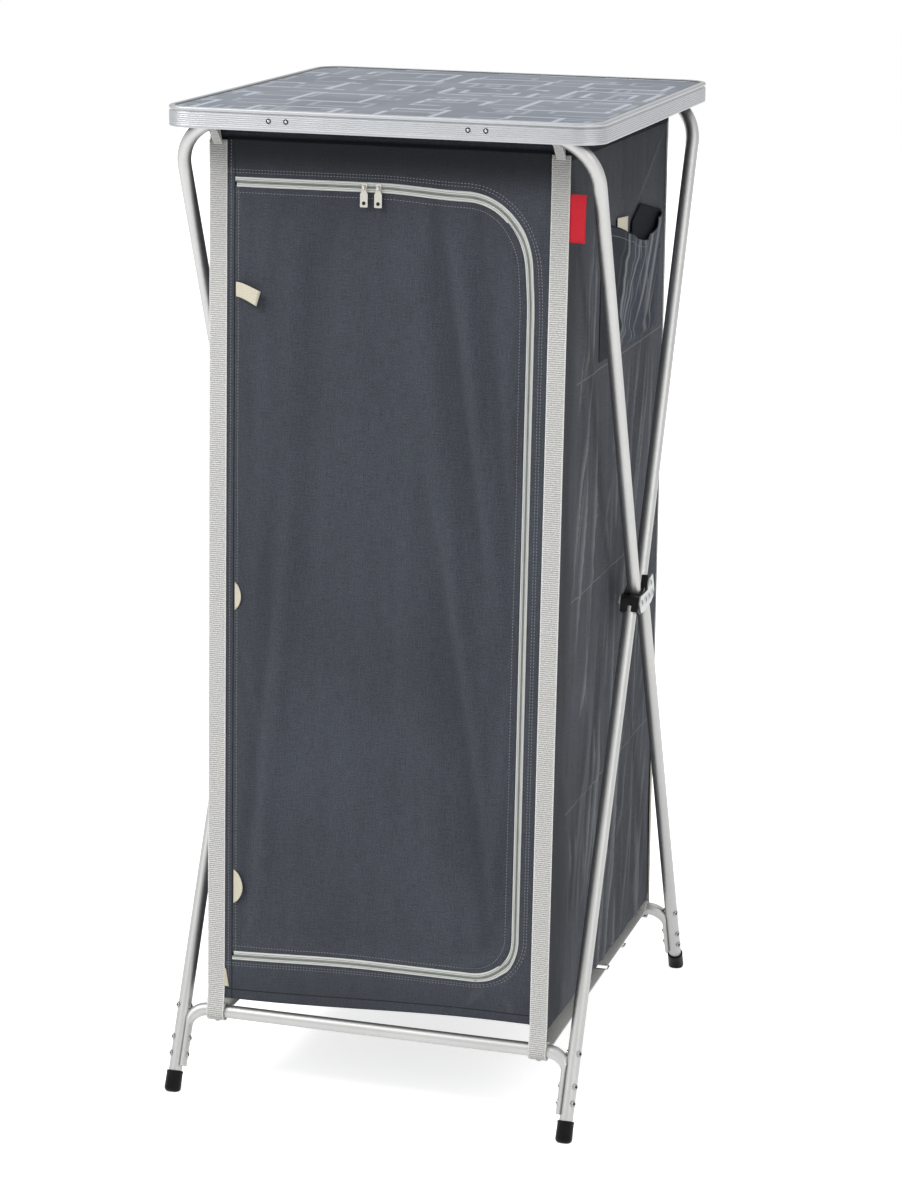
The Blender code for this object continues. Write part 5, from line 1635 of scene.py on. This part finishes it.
class CUPBOARD_OT_zip(bpy.types.Operator):
    """Makes the two zip halves, the sliders and the pulls"""
    bl_idname = "cupboard.zip"
    bl_label = "Zip"

    def execute(self, context):
        sizes = context.scene.cupboard_trim
        tape = self.surface(sizes)
        for name, node, body, sign in (("front_zip_half", "front_zip_tape", "rear_frame", 1),
                                       ("door_zip_half", "door_zip_tape", "door", -1)):
            made = self.half(sign)
            gathers(piece(name, made, body, tape, [node], 60))
        bright = metal("zip_metal", sizes.metal, 0.25, 0.40)
        for side, _ in SIDES:
            for kind in ("slider", "pull"):
                gathers(dressed(f"{side}_{kind}_metal", f"{side}_zip_{kind}", f"{side}_{kind}",
                                bright, CAST_EASE))
        return {"FINISHED"}

    def surface(self, sizes):
        """Light tape with two fine dark lines a side and a greyer coil in the middle."""
        made, shader, place = material("zip_tape_and_coil")
        parts = parts_of(own_map(shader, "weave"))
        away = maths("ABSOLUTE", parts[0])
        turns = wave(times(parts[1], 2 * pi / 0.0016))
        coil = between(away, 0.0018, 0.0015)
        lines = 0.0
        for level, width in ((0.0, 0.00045), (0.0018, 0.0003), (0.0038, 0.0003)):
            line = between(apart(away, level), width * 1.5, width * 0.7)
            lines = larger(line, lines)
        ribs = wave(times(parts[1], 2 * pi / 0.0009))
        soil = use("handling_wear", place=place, scale=30.0)
        paint = mixed(coil, sizes.tape, sizes.coil)
        paint = mixed(times(lines, 0.8), paint, shaded(sizes.coil, 0.42))
        paint = mixed(times(soil["Soft"], 0.18), paint, shaded(sizes.tape, 0.8))
        height = maths("ADD", times(turns, coil), times(ribs, 0.25))
        feed(shader, paint, between(coil, 0, 1, 0.75, 0.45), height, 0.00025, 0.9)
        return made

    def half(self, sign):
        """Section of one half, from the middle line outwards, carried along the zip."""
        section = [(0.0001, 0.0006), (0.0001, 0.0013), (0.0006, 0.0017), (0.0013, 0.0016),
                   (0.0018, 0.0011), (0.0023, 0.0014), (0.0031, 0.0015), (0.0037, 0.0012),
                   (0.0041, 0.0014), (0.0050, 0.0018), (0.0059, 0.0016), (0.0065, 0.0008),
                   (0.0066, 0.0003)]
        made = bmesh.new()
        start = HEM_X + (0.0022 if sign < 0 else 0)
        row = chained(made, [(start, ZIP_TOP + sign * away, out) for away, out in section])
        above, below = ZIP_RIGHT - ZIP_TOP_CORNER, ZIP_RIGHT - ZIP_BOTTOM_CORNER
        top, bottom = ZIP_TOP - ZIP_TOP_CORNER, ZIP_BOTTOM + ZIP_BOTTOM_CORNER
        row = run_on(made, row, (above - start, 0, 0), 30)
        row = turn_on(made, row, (above, top, 0), (0, 0, 1), -pi / 2, 28)
        row = run_on(made, row, (0, bottom - top, 0), 60)
        row = turn_on(made, row, (below, bottom, 0), (0, 0, 1), -pi / 2, 24)
        run_on(made, row, (start - below, 0, 0), 30)
        merged(made)
        if sign < 0:
            bmesh.ops.reverse_faces(made, faces=made.faces)
        mapped(made, lambda v: zip_seam(v.co.x, v.co.y)[::-1])
        for vertex in made.verts:
            beside = vertex.co.x - ZIP_RIGHT
            narrow = 0.22 * eased((beside + 0.020) / 0.012) * eased((ZIP_TOP - vertex.co.y) / 0.12)
            vertex.co.x -= beside * narrow
        bmesh.ops.solidify(made, geom=made.faces[:], thickness=0.0004)
        outward(made)
        set_at(made, FRONT_CLOTH)
        hang(made.verts)
        return made


class CUPBOARD_OT_pocket(bpy.types.Operator):
    """Makes the gathered side pocket, its back in painted shade and the bare side tag"""
    bl_idname = "cupboard.pocket"
    bl_label = "Pocket and tag"

    def execute(self, context):
        sizes = context.scene.cupboard_cloth
        low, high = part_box("side_pocket")
        front, rear, bottom, top = low.y, high.y, low.z, high.z
        wide, tall = rear - front, top - bottom
        wall = CABINET_HALF + 0.0012
        # A lighter copy of the canvas with its gloss turned down: the lighter colour is painted
        # sheen, standing in for the reflection taken away.
        surface = canvas("pocket_canvas", shaded(sizes.canvas, 1.4), sizes,
                         rows=[(1, -0.0135, -1)], creases=((1, -0.0008),), fade=0.18,
                         stitch=0.0008, gloss=0.2)
        fan = ((0.44, 0.30, 0.0048, 0.022, 0.10), (0.66, 0.34, 0.0040, 0.022, 0.10),
               (0.862, 0.52, 0.0085, 0.090, 0.016), (0.935, 0.72, 0.0085, 0.050, 0.030))

        def mouth(u):
            return top - 0.018 * u - 0.037 * sin(pi * u * u) + self.zigzag(u)

        def place(u, v):
            belly = sin(pi / 2 * v) ** 0.8 * (0.004 * sin(pi * u) ** 0.5 + 0.011 * u * u)
            pleat = 0.0
            for upper, lower, height, before, after in fan:
                away = u - lower - (upper - lower) * v
                width = before if away < 0 else after
                pleat += height * max(1 - abs(away) / width, 0) * (0.35 + 0.65 * v)
            out = belly + pleat * min(1, 8 * u, 10 * (1 - u)) * min(1, 5 * v)
            out = min(out, high.x - wall - 0.0010) * min(1, 12 * u, 14 * (1 - u))
            z = bottom + (mouth(u) - bottom) * v
            return Vector((wall + out, front + wide * u, z))

        def flat(u, v):
            return wide * POCKET_FULLNESS * u, tall * (v - 1)

        obj = cloth("pocket_cloth", (96, 26, place, flat), surface, ["side_pocket"])

        def held(point):
            at_side = point.y < front + 0.004 or point.y > rear - 0.004
            return 1.0 if at_side or point.z < bottom + 0.004 else 0.0

        middle = (front + rear) / 2

        def cut(point):
            return Vector((point.x, middle + (point.y - middle) * 1.07, point.z))

        settle(obj, held, cut, give=0.004, frames=18, gravity=0.5)
        for vertex in obj.data.vertices:
            vertex.co.x = max(vertex.co.x, wall)
        folds = []
        for upper, lower, *_ in fan:
            low_y, high_y = front + wide * lower, front + wide * upper
            lean = (high_y - low_y) / tall
            folds.append(((low_y + high_y) / 2, (top + bottom) / 2, lean, 0.13, 0.007, 1.0))
        folds += crumples(16, 21, (-0.02, 0.23), (1.05, 1.19), (0.1, 0.6), (0.03, 0.09),
                          (0.004, 0.007))
        creased(finer(obj), folds, lambda co: (co.y, co.z), Vector((1, 0, 0)), 0.0010)
        # Painted highlight along the mouth's edge, from the first pleat to the rear.
        marks = obj.data.attributes["ridge"].data
        for i, vertex in enumerate(obj.data.vertices):
            u = (vertex.co.y - front) / wide
            if u > 0.43:
                lit = 0.9 * eased(1 - (mouth(u) - vertex.co.z) / 0.005)
                marks[i].value = max(marks[i].value, lit)

        # Painted shade on the strip in front of the first pleat.
        def front_strip(co):
            fold = front + wide * (0.30 + 0.14 * (co.z - bottom) / tall) - 0.004
            return 0.55 * eased((fold - co.y) / 0.006)

        paint_shade(obj, front_strip)
        gathers(walled(obj, sizes.thickness))
        self.lining(sizes, wall)
        self.tag(sizes)
        return {"FINISHED"}

    def zigzag(self, u):
        """The mouth's cloth stands in sharp folds towards the rear."""
        stops = ((0.70, 0.0), (0.76, 0.005), (0.862, 0.005), (0.877, 0.013), (0.935, 0.009),
                 (1.0, 0.0))
        for (start, low), (end, high) in zip(stops, stops[1:]):
            if start <= u <= end:
                return low + (high - low) * (u - start) / (end - start)
        return 0.0

    def lining(self, sizes, wall):
        """The pocket's back, which stands above its mouth: a sheet darkened with painted shade, for
        the shadow inside the pocket.
        """
        # Painted shade: the back is a much darker copy of the canvas.
        shade = canvas("pocket_back_shade_canvas", shaded(sizes.canvas, 0.34), sizes, fade=0.1, gloss=0.1)

        def place(u, v):
            edge = 1.2135 + 0.0202 * min(u / 0.26, 1) - 0.0261 * max(u - 0.26, 0) / 0.74
            y, z = POCKET_BACK_Y + POCKET_BACK_WIDE * u, POCKET_BACK_Z + (edge - POCKET_BACK_Z) * v
            return Vector((wall + 0.0008 + 0.0014 * v, y, z))

        def flat(u, v):
            return POCKET_BACK_WIDE * u, 0.090 * v

        back = cloth("pocket_back", (26, 10, place, flat), shade)
        gathers(walled(back, sizes.thickness / 2))

    def tag(self, sizes):
        low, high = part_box("side_tag")
        wide, tall = high.x - low.x, high.z - low.z
        red = canvas("red_tag_cloth", sizes.tag, sizes, fade=0.06, grain=0.3)

        def place(u, v):
            z = low.z + tall * v
            lean = at_front(0, (z - CABINET_BOTTOM) / cos(CABINET_LEAN)).y
            curl = 0.0022 * u * u * sin(pi * v) + 0.0015 * u * u * (0.5 - v)
            return Vector((low.x + wide * u, lean - curl, z))

        def flat(u, v):
            return wide * u, tall * v

        tag = cloth("red_side_tag", (12, 24, place, flat), red, ["side_tag"])
        gathers(walled(tag, 0.0007))


class CUPBOARD_OT_straps(bpy.types.Operator):
    """Makes the upright straps, the base straps and their metal"""
    bl_idname = "cupboard.straps"
    bl_label = "Straps"

    def execute(self, context):
        sizes = context.scene.cupboard_trim
        ribbed = webbing("ribbed_webbing", sizes.webbing, sizes.rib, WEBBING_WIDTH)
        narrow = webbing("hanger_webbing", shaded(sizes.webbing, 0.92), sizes.rib, 0.012)
        corners = [(row, face, side, sign) for row, face in ROWS for side, sign in SIDES]
        for corner in corners:
            self.upright(*corner, ribbed, narrow, sizes)
        for corner in corners:
            self.base(*corner, ribbed, sizes)
        bright = metal("buckle_nickel", sizes.metal, 0.22, 0.38)
        for side, _ in SIDES:
            for kind in ("hook", "buckle"):
                obj = dressed(f"{side}_{kind}_metal", f"{side}_base_strap_{kind}", "rear_legs",
                              bright, PRESSED_EASE, (0, 0, -STRAP_SLACK))
                gathers(obj)
        return {"FINISHED"}

    def ribbon(self, points, x, width, thickness):
        """Webbing across X along points given as (y, z), with its own map."""
        made = bmesh.new()
        lengths = [0.0]
        for before, after in zip(points, points[1:]):
            lengths.append(lengths[-1] + dist(before, after))
        rows = len(points) - 1
        bmesh.ops.create_grid(made, x_segments=4, y_segments=rows, size=0.5)
        spots = {v: (v.co.x * width, round((v.co.y + 0.5) * rows)) for v in made.verts}
        mapped(made, lambda v: (spots[v][0], lengths[spots[v][1]]))
        for vertex, (across, step) in spots.items():
            vertex.co = (x + across, *points[step])
        outward(made)
        bmesh.ops.solidify(made, geom=made.faces[:], thickness=thickness)
        return made

    def upright(self, row, face, side, sign, ribbed, narrow, sizes):
        """Strap down a corner of the cabinet, with the narrow loop that hangs it."""
        out = 0.0006 + 0.0003 + sizes.webbing_thickness / 2
        ring = TUBE_RADIUS + 0.0026 + sizes.webbing_thickness
        y, z = face * CROSSBAR_Y, CROSSBAR_Z
        points = []
        for i in range(13):
            turn = -pi / 2 - 0.7 + (pi / 2 + 0.7) * i / 12
            points.append((y + face * ring * cos(turn), z + ring * sin(turn)))
        steps = 70
        for i in range(1, steps + 1):
            height = z + (STRAP_TOP - z) * i / steps
            on_cloth = half_depth(max(height, CABINET_BOTTOM + 0.006)) + out
            free = clamped((height - z) / (CABINET_BOTTOM + 0.006 - z))
            start = CROSSBAR_Y + ring
            wobble = 0.0005 * (0.5 + 0.5 * uneven(height, 0.3 * sign + face)) * (free == 1)
            points.append((face * (start + (on_cloth - start) * free + wobble), height))
        broad = sign * STRAP_X, WEBBING_WIDTH, sizes.webbing_thickness
        made = self.ribbon(points, *broad)
        obj = piece(f"{row}_{side}_upright_webbing", made, "rear_frame", ribbed,
                    [f"{row}_{side}_strap"], 50)
        # Painted shade: the strap darkens towards the top, under the worktop.
        gathers(paint_shade(obj, lambda co: 0.30 * eased((co.z - 1.10) / 0.22)))
        y = face * (half_depth(STRAP_TOP) + out + 0.0016)
        points = [(y + face * 0.00002 * i, STRAP_TOP - 0.034 + 0.034 * i / 7) for i in range(8)]
        points.append((y - face * 0.0004, STRAP_TOP + 0.0012))
        made = self.ribbon(points, *broad)
        fold = piece(f"{row}_{side}_strap_fold", made, "rear_frame", ribbed, (), 50)
        # Painted shade over the whole fold, under the worktop.
        gathers(paint_shade(fold, lambda co: 0.30))
        inside = max(STRAP_X - (TUBE_X - BAR_BEND), 0)
        drop = BAR_BEND - sqrt(BAR_BEND ** 2 - inside ** 2)
        up = Vector((face * sin(UPPER_LEAN), cos(UPPER_LEAN)))
        middle = Vector((face * BAR_Y, BAR_Z)) - up * drop
        round_bar = TUBE_RADIUS + 0.0012
        base = Vector((face * (half_depth(STRAP_TOP - 0.0065) + out), STRAP_TOP - 0.0065))
        leave = (base - middle).normalized()
        loop = [tuple(base)]
        start = atan2(leave.y, leave.x)
        for i in range(25):
            turn = start + face * radians(35 + 290 * i / 24)
            loop.append(tuple(middle + Vector((cos(turn), sin(turn))) * round_bar))
        loop.append(tuple(base + Vector((face * -0.0004, 0))))
        made = self.ribbon(loop, sign * STRAP_X, 0.012, 0.0010)
        gathers(piece(f"{row}_{side}_hanger_loop", made, "rear_frame", narrow,
                      (), 60))

    def base(self, row, face, side, sign, ribbed, sizes):
        """Webbing round a crossbar that runs in under the cabinet."""
        node = f"{row}_{side}_base_strap"
        low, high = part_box(node)
        level = CABINET_BOTTOM - 0.0065 - STRAP_SLACK
        ring = TUBE_RADIUS + 0.0009 + sizes.webbing_thickness / 2
        y, z = face * CROSSBAR_Y, CROSSBAR_Z
        end = low.y if face > 0 else high.y
        rise_y = y - face * 0.030
        points = [(y - face * ring * sin(radians(a)), z + ring * cos(radians(a)))
                  for a in range(90, -271, -15)]
        points = [(rise_y, level)] + points + [(rise_y, level)]
        points += [(rise_y + (end - rise_y) * i / 12, level) for i in range(1, 13)]
        made = self.ribbon(points, sign * STRAP_X, WEBBING_WIDTH, sizes.webbing_thickness)
        obj = piece(f"{row}_{side}_base_webbing", made, f"{row}_legs", ribbed,
                    [node], 50)
        gathers(obj)


class CUPBOARD_OT_trim(bpy.types.Operator):
    """Makes the roof's band, the beige tabs and lining edges, and the straps' screws"""
    bl_idname = "cupboard.trim"
    bl_label = "Trim"

    def execute(self, context):
        sizes, frame_sizes = context.scene.cupboard_cloth, context.scene.cupboard_frame
        self.band(sizes)
        beige = canvas("beige_tab_cloth", sizes.tab, sizes, fade=0.06, grain=0.25)
        self.tabs(beige)
        self.linings(beige)
        self.screws(metal("screw_steel", frame_sizes.steel, 0.24, 0.40))
        return {"FINISHED"}

    def band(self, sizes):
        """Doubled cloth round the top of the cabinet, its lower edge lower at the rear."""
        half_x, half_y = CABINET_HALF + 0.0016, half_depth(CABINET_TOP) + 0.0016
        made = bmesh.new()
        profile = [(0.0012, 0.0003), (0.0001, 0.0), (0, -0.0010), (0, -0.0110), (0, -0.0158),
                   (0, -0.0166), (0.0002, -0.0192), (0.0011, -0.0203)]
        carried_round(made, profile, half_x, half_y, 0.004, CABINET_TOP + 0.0002, closed=False)
        merged(made)
        made.verts.index_update()
        hem = set()
        for vertex in made.verts:
            below = (CABINET_TOP - vertex.co.z) / 0.0203
            if below > 0.76:
                hem.add(vertex.index)
            rear = 0.5 + vertex.co.y / (2 * half_y)
            side = eased((abs(vertex.co.x) - half_x + 0.012) / 0.012)
            drop = -0.003 + 0.011 * rear + (0.0082 - 0.0068 * rear) * side
            vertex.co.z -= below * (drop + 0.0008 * uneven(vertex.co.x, vertex.co.y))
            vertex.co.y *= half_depth(vertex.co.z) / half_depth(CABINET_TOP)
        outward(made)
        mapped_flat(made)
        # A lighter copy of the canvas with its gloss turned down: the lighter colour is painted
        # sheen.
        shade = canvas("band_canvas", shaded(sizes.canvas, 1.2), sizes, fade=0.14, gloss=0.2)
        obj = piece("roof_band", made, "rear_frame", shade, (), 60)
        # Painted shade: the band is darker all round, and its hem darkest, a painted shadow line
        # under the band.
        marks = paint_shade(obj, lambda co: 0.45).data.attributes["painted_shade"].data
        for i in hem:
            marks[i].value = 1.0
        gathers(walled(obj, 0.0006))

    def tabs(self, surface):
        """Three tie tabs in the door's hem."""
        for name, low, tall, reach, drop in (("upper", 1.1435, 0.0200, 0.038, 0.0105),
                                             ("middle", 0.7185, 0.0390, 0.0095, 0.0),
                                             ("lower", 0.3060, 0.0480, 0.0145, 0.0)):
            start = (low - CABINET_BOTTOM) / cos(CABINET_LEAN)

            def place(u, v):
                bulge = max(sin(pi * v), 0) ** 0.7 if drop == 0 else 1.0
                x = HEM_X + 0.0018 + reach * bulge * u - 0.006 * drop / 0.011 * u * (1 - v)
                height = start + tall * (v - 0.5) - drop * u ** 1.5
                return at_front(x, height, 0.0016 + 0.0092 * eased((x - HEM_X) / 0.034))

            def flat(u, v):
                return reach * u, tall * v

            obj = cloth(f"{name}_tie_tab", (8, 12, place, flat), surface, (), "door")
            walled(obj, 0.0009)
            hang(obj.data.vertices)
            gathers(obj)

    def linings(self, surface):
        """Light edges of the lining at the rear right and at the foot on the left, and the
        pocket's own tab."""
        def strip(name, tall, place):
            def flat(u, v):
                return 0.05 * u, tall * v

            obj = cloth(name, (6, 20, place, flat), surface)
            gathers(walled(obj, 0.0006))

        def rear_edge(u, v):
            z = 0.135 + 0.37 * v
            wide = 0.011 * (0.3 + 0.7 * sin(pi * v)) * eased((1 - v) / 0.2)
            return Vector((CABINET_HALF + 0.0026, half_depth(z) - 0.0012 - wide * u, z))

        def pocket_tab(u, v):
            level = 1.192 + (0.0363 - 0.0045 * u) * v
            return Vector((CABINET_HALF + 0.0030, -0.0225 + 0.062 * u, level))

        def foot_sliver(u, v):
            height = 0.016 + 0.026 * v
            return at_front(-0.2250 + 0.0075 * u * (1 - 0.6 * v), height, 0.0016)

        strip("lining_edge", 0.37, rear_edge)
        strip("pocket_tab", 0.046, pocket_tab)
        strip("lining_sliver", 0.026, foot_sliver)

    def screws(self, steel):
        """A screw under each crossbar holds the strap's end."""
        ring = TUBE_RADIUS + 0.0046
        for row, face in ROWS:
            made = bmesh.new()
            for _, sign in SIDES:
                spot = moved(sign * STRAP_X, face * CROSSBAR_Y, CROSSBAR_Z - ring)
                dome(made, spot @ turned(pi, "X"), 0.0042, 0.45)
            piece(f"{row}_strap_screws", made, f"{row}_legs", steel, (), 60)


class CUPBOARD_PT_panel(bpy.types.Panel):
    """Lists the steps of the cupboard"""
    bl_idname = "CUPBOARD_PT_panel"
    bl_label = "Camping cupboard"
    bl_space_type = "VIEW_3D"
    bl_region_type = "UI"
    bl_category = "Cupboard"

    def draw(self, context):
        for name in SETTINGS:
            box = self.layout.box()
            for key in getattr(context.scene, name).bl_rna.properties.keys():
                if key not in ("rna_type", "name"):
                    box.prop(getattr(context.scene, name), key)
        for operator in OPERATORS:
            self.layout.operator(operator.bl_idname)


OPERATORS = (CUPBOARD_OT_stage, CUPBOARD_OT_worktop, CUPBOARD_OT_clips, CUPBOARD_OT_hoops,
             CUPBOARD_OT_legs, CUPBOARD_OT_knuckles, CUPBOARD_OT_walls, CUPBOARD_OT_front,
             CUPBOARD_OT_door, CUPBOARD_OT_zip, CUPBOARD_OT_pocket, CUPBOARD_OT_straps,
             CUPBOARD_OT_trim)
SETTINGS = {"cupboard_frame": CupboardFrameSettings, "cupboard_worktop": CupboardWorktopSettings,
            "cupboard_cloth": CupboardClothSettings, "cupboard_trim": CupboardTrimSettings,
            "cupboard_stage": CupboardStageSettings}
CLASSES = (*SETTINGS.values(), *OPERATORS, CUPBOARD_PT_panel)


def register():
    for entry in CLASSES:
        bpy.utils.register_class(entry)
    for name, settings in SETTINGS.items():
        setattr(bpy.types.Scene, name, bpy.props.PointerProperty(type=settings))


def unregister():
    for name in SETTINGS:
        delattr(bpy.types.Scene, name)
    for entry in reversed(CLASSES):
        bpy.utils.unregister_class(entry)


def main():
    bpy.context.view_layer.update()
    register()
    for operator in OPERATORS:
        group_name, step = operator.bl_idname.split(".")
        getattr(getattr(bpy.ops, group_name), step)()


if __name__ == "__main__":
    main()
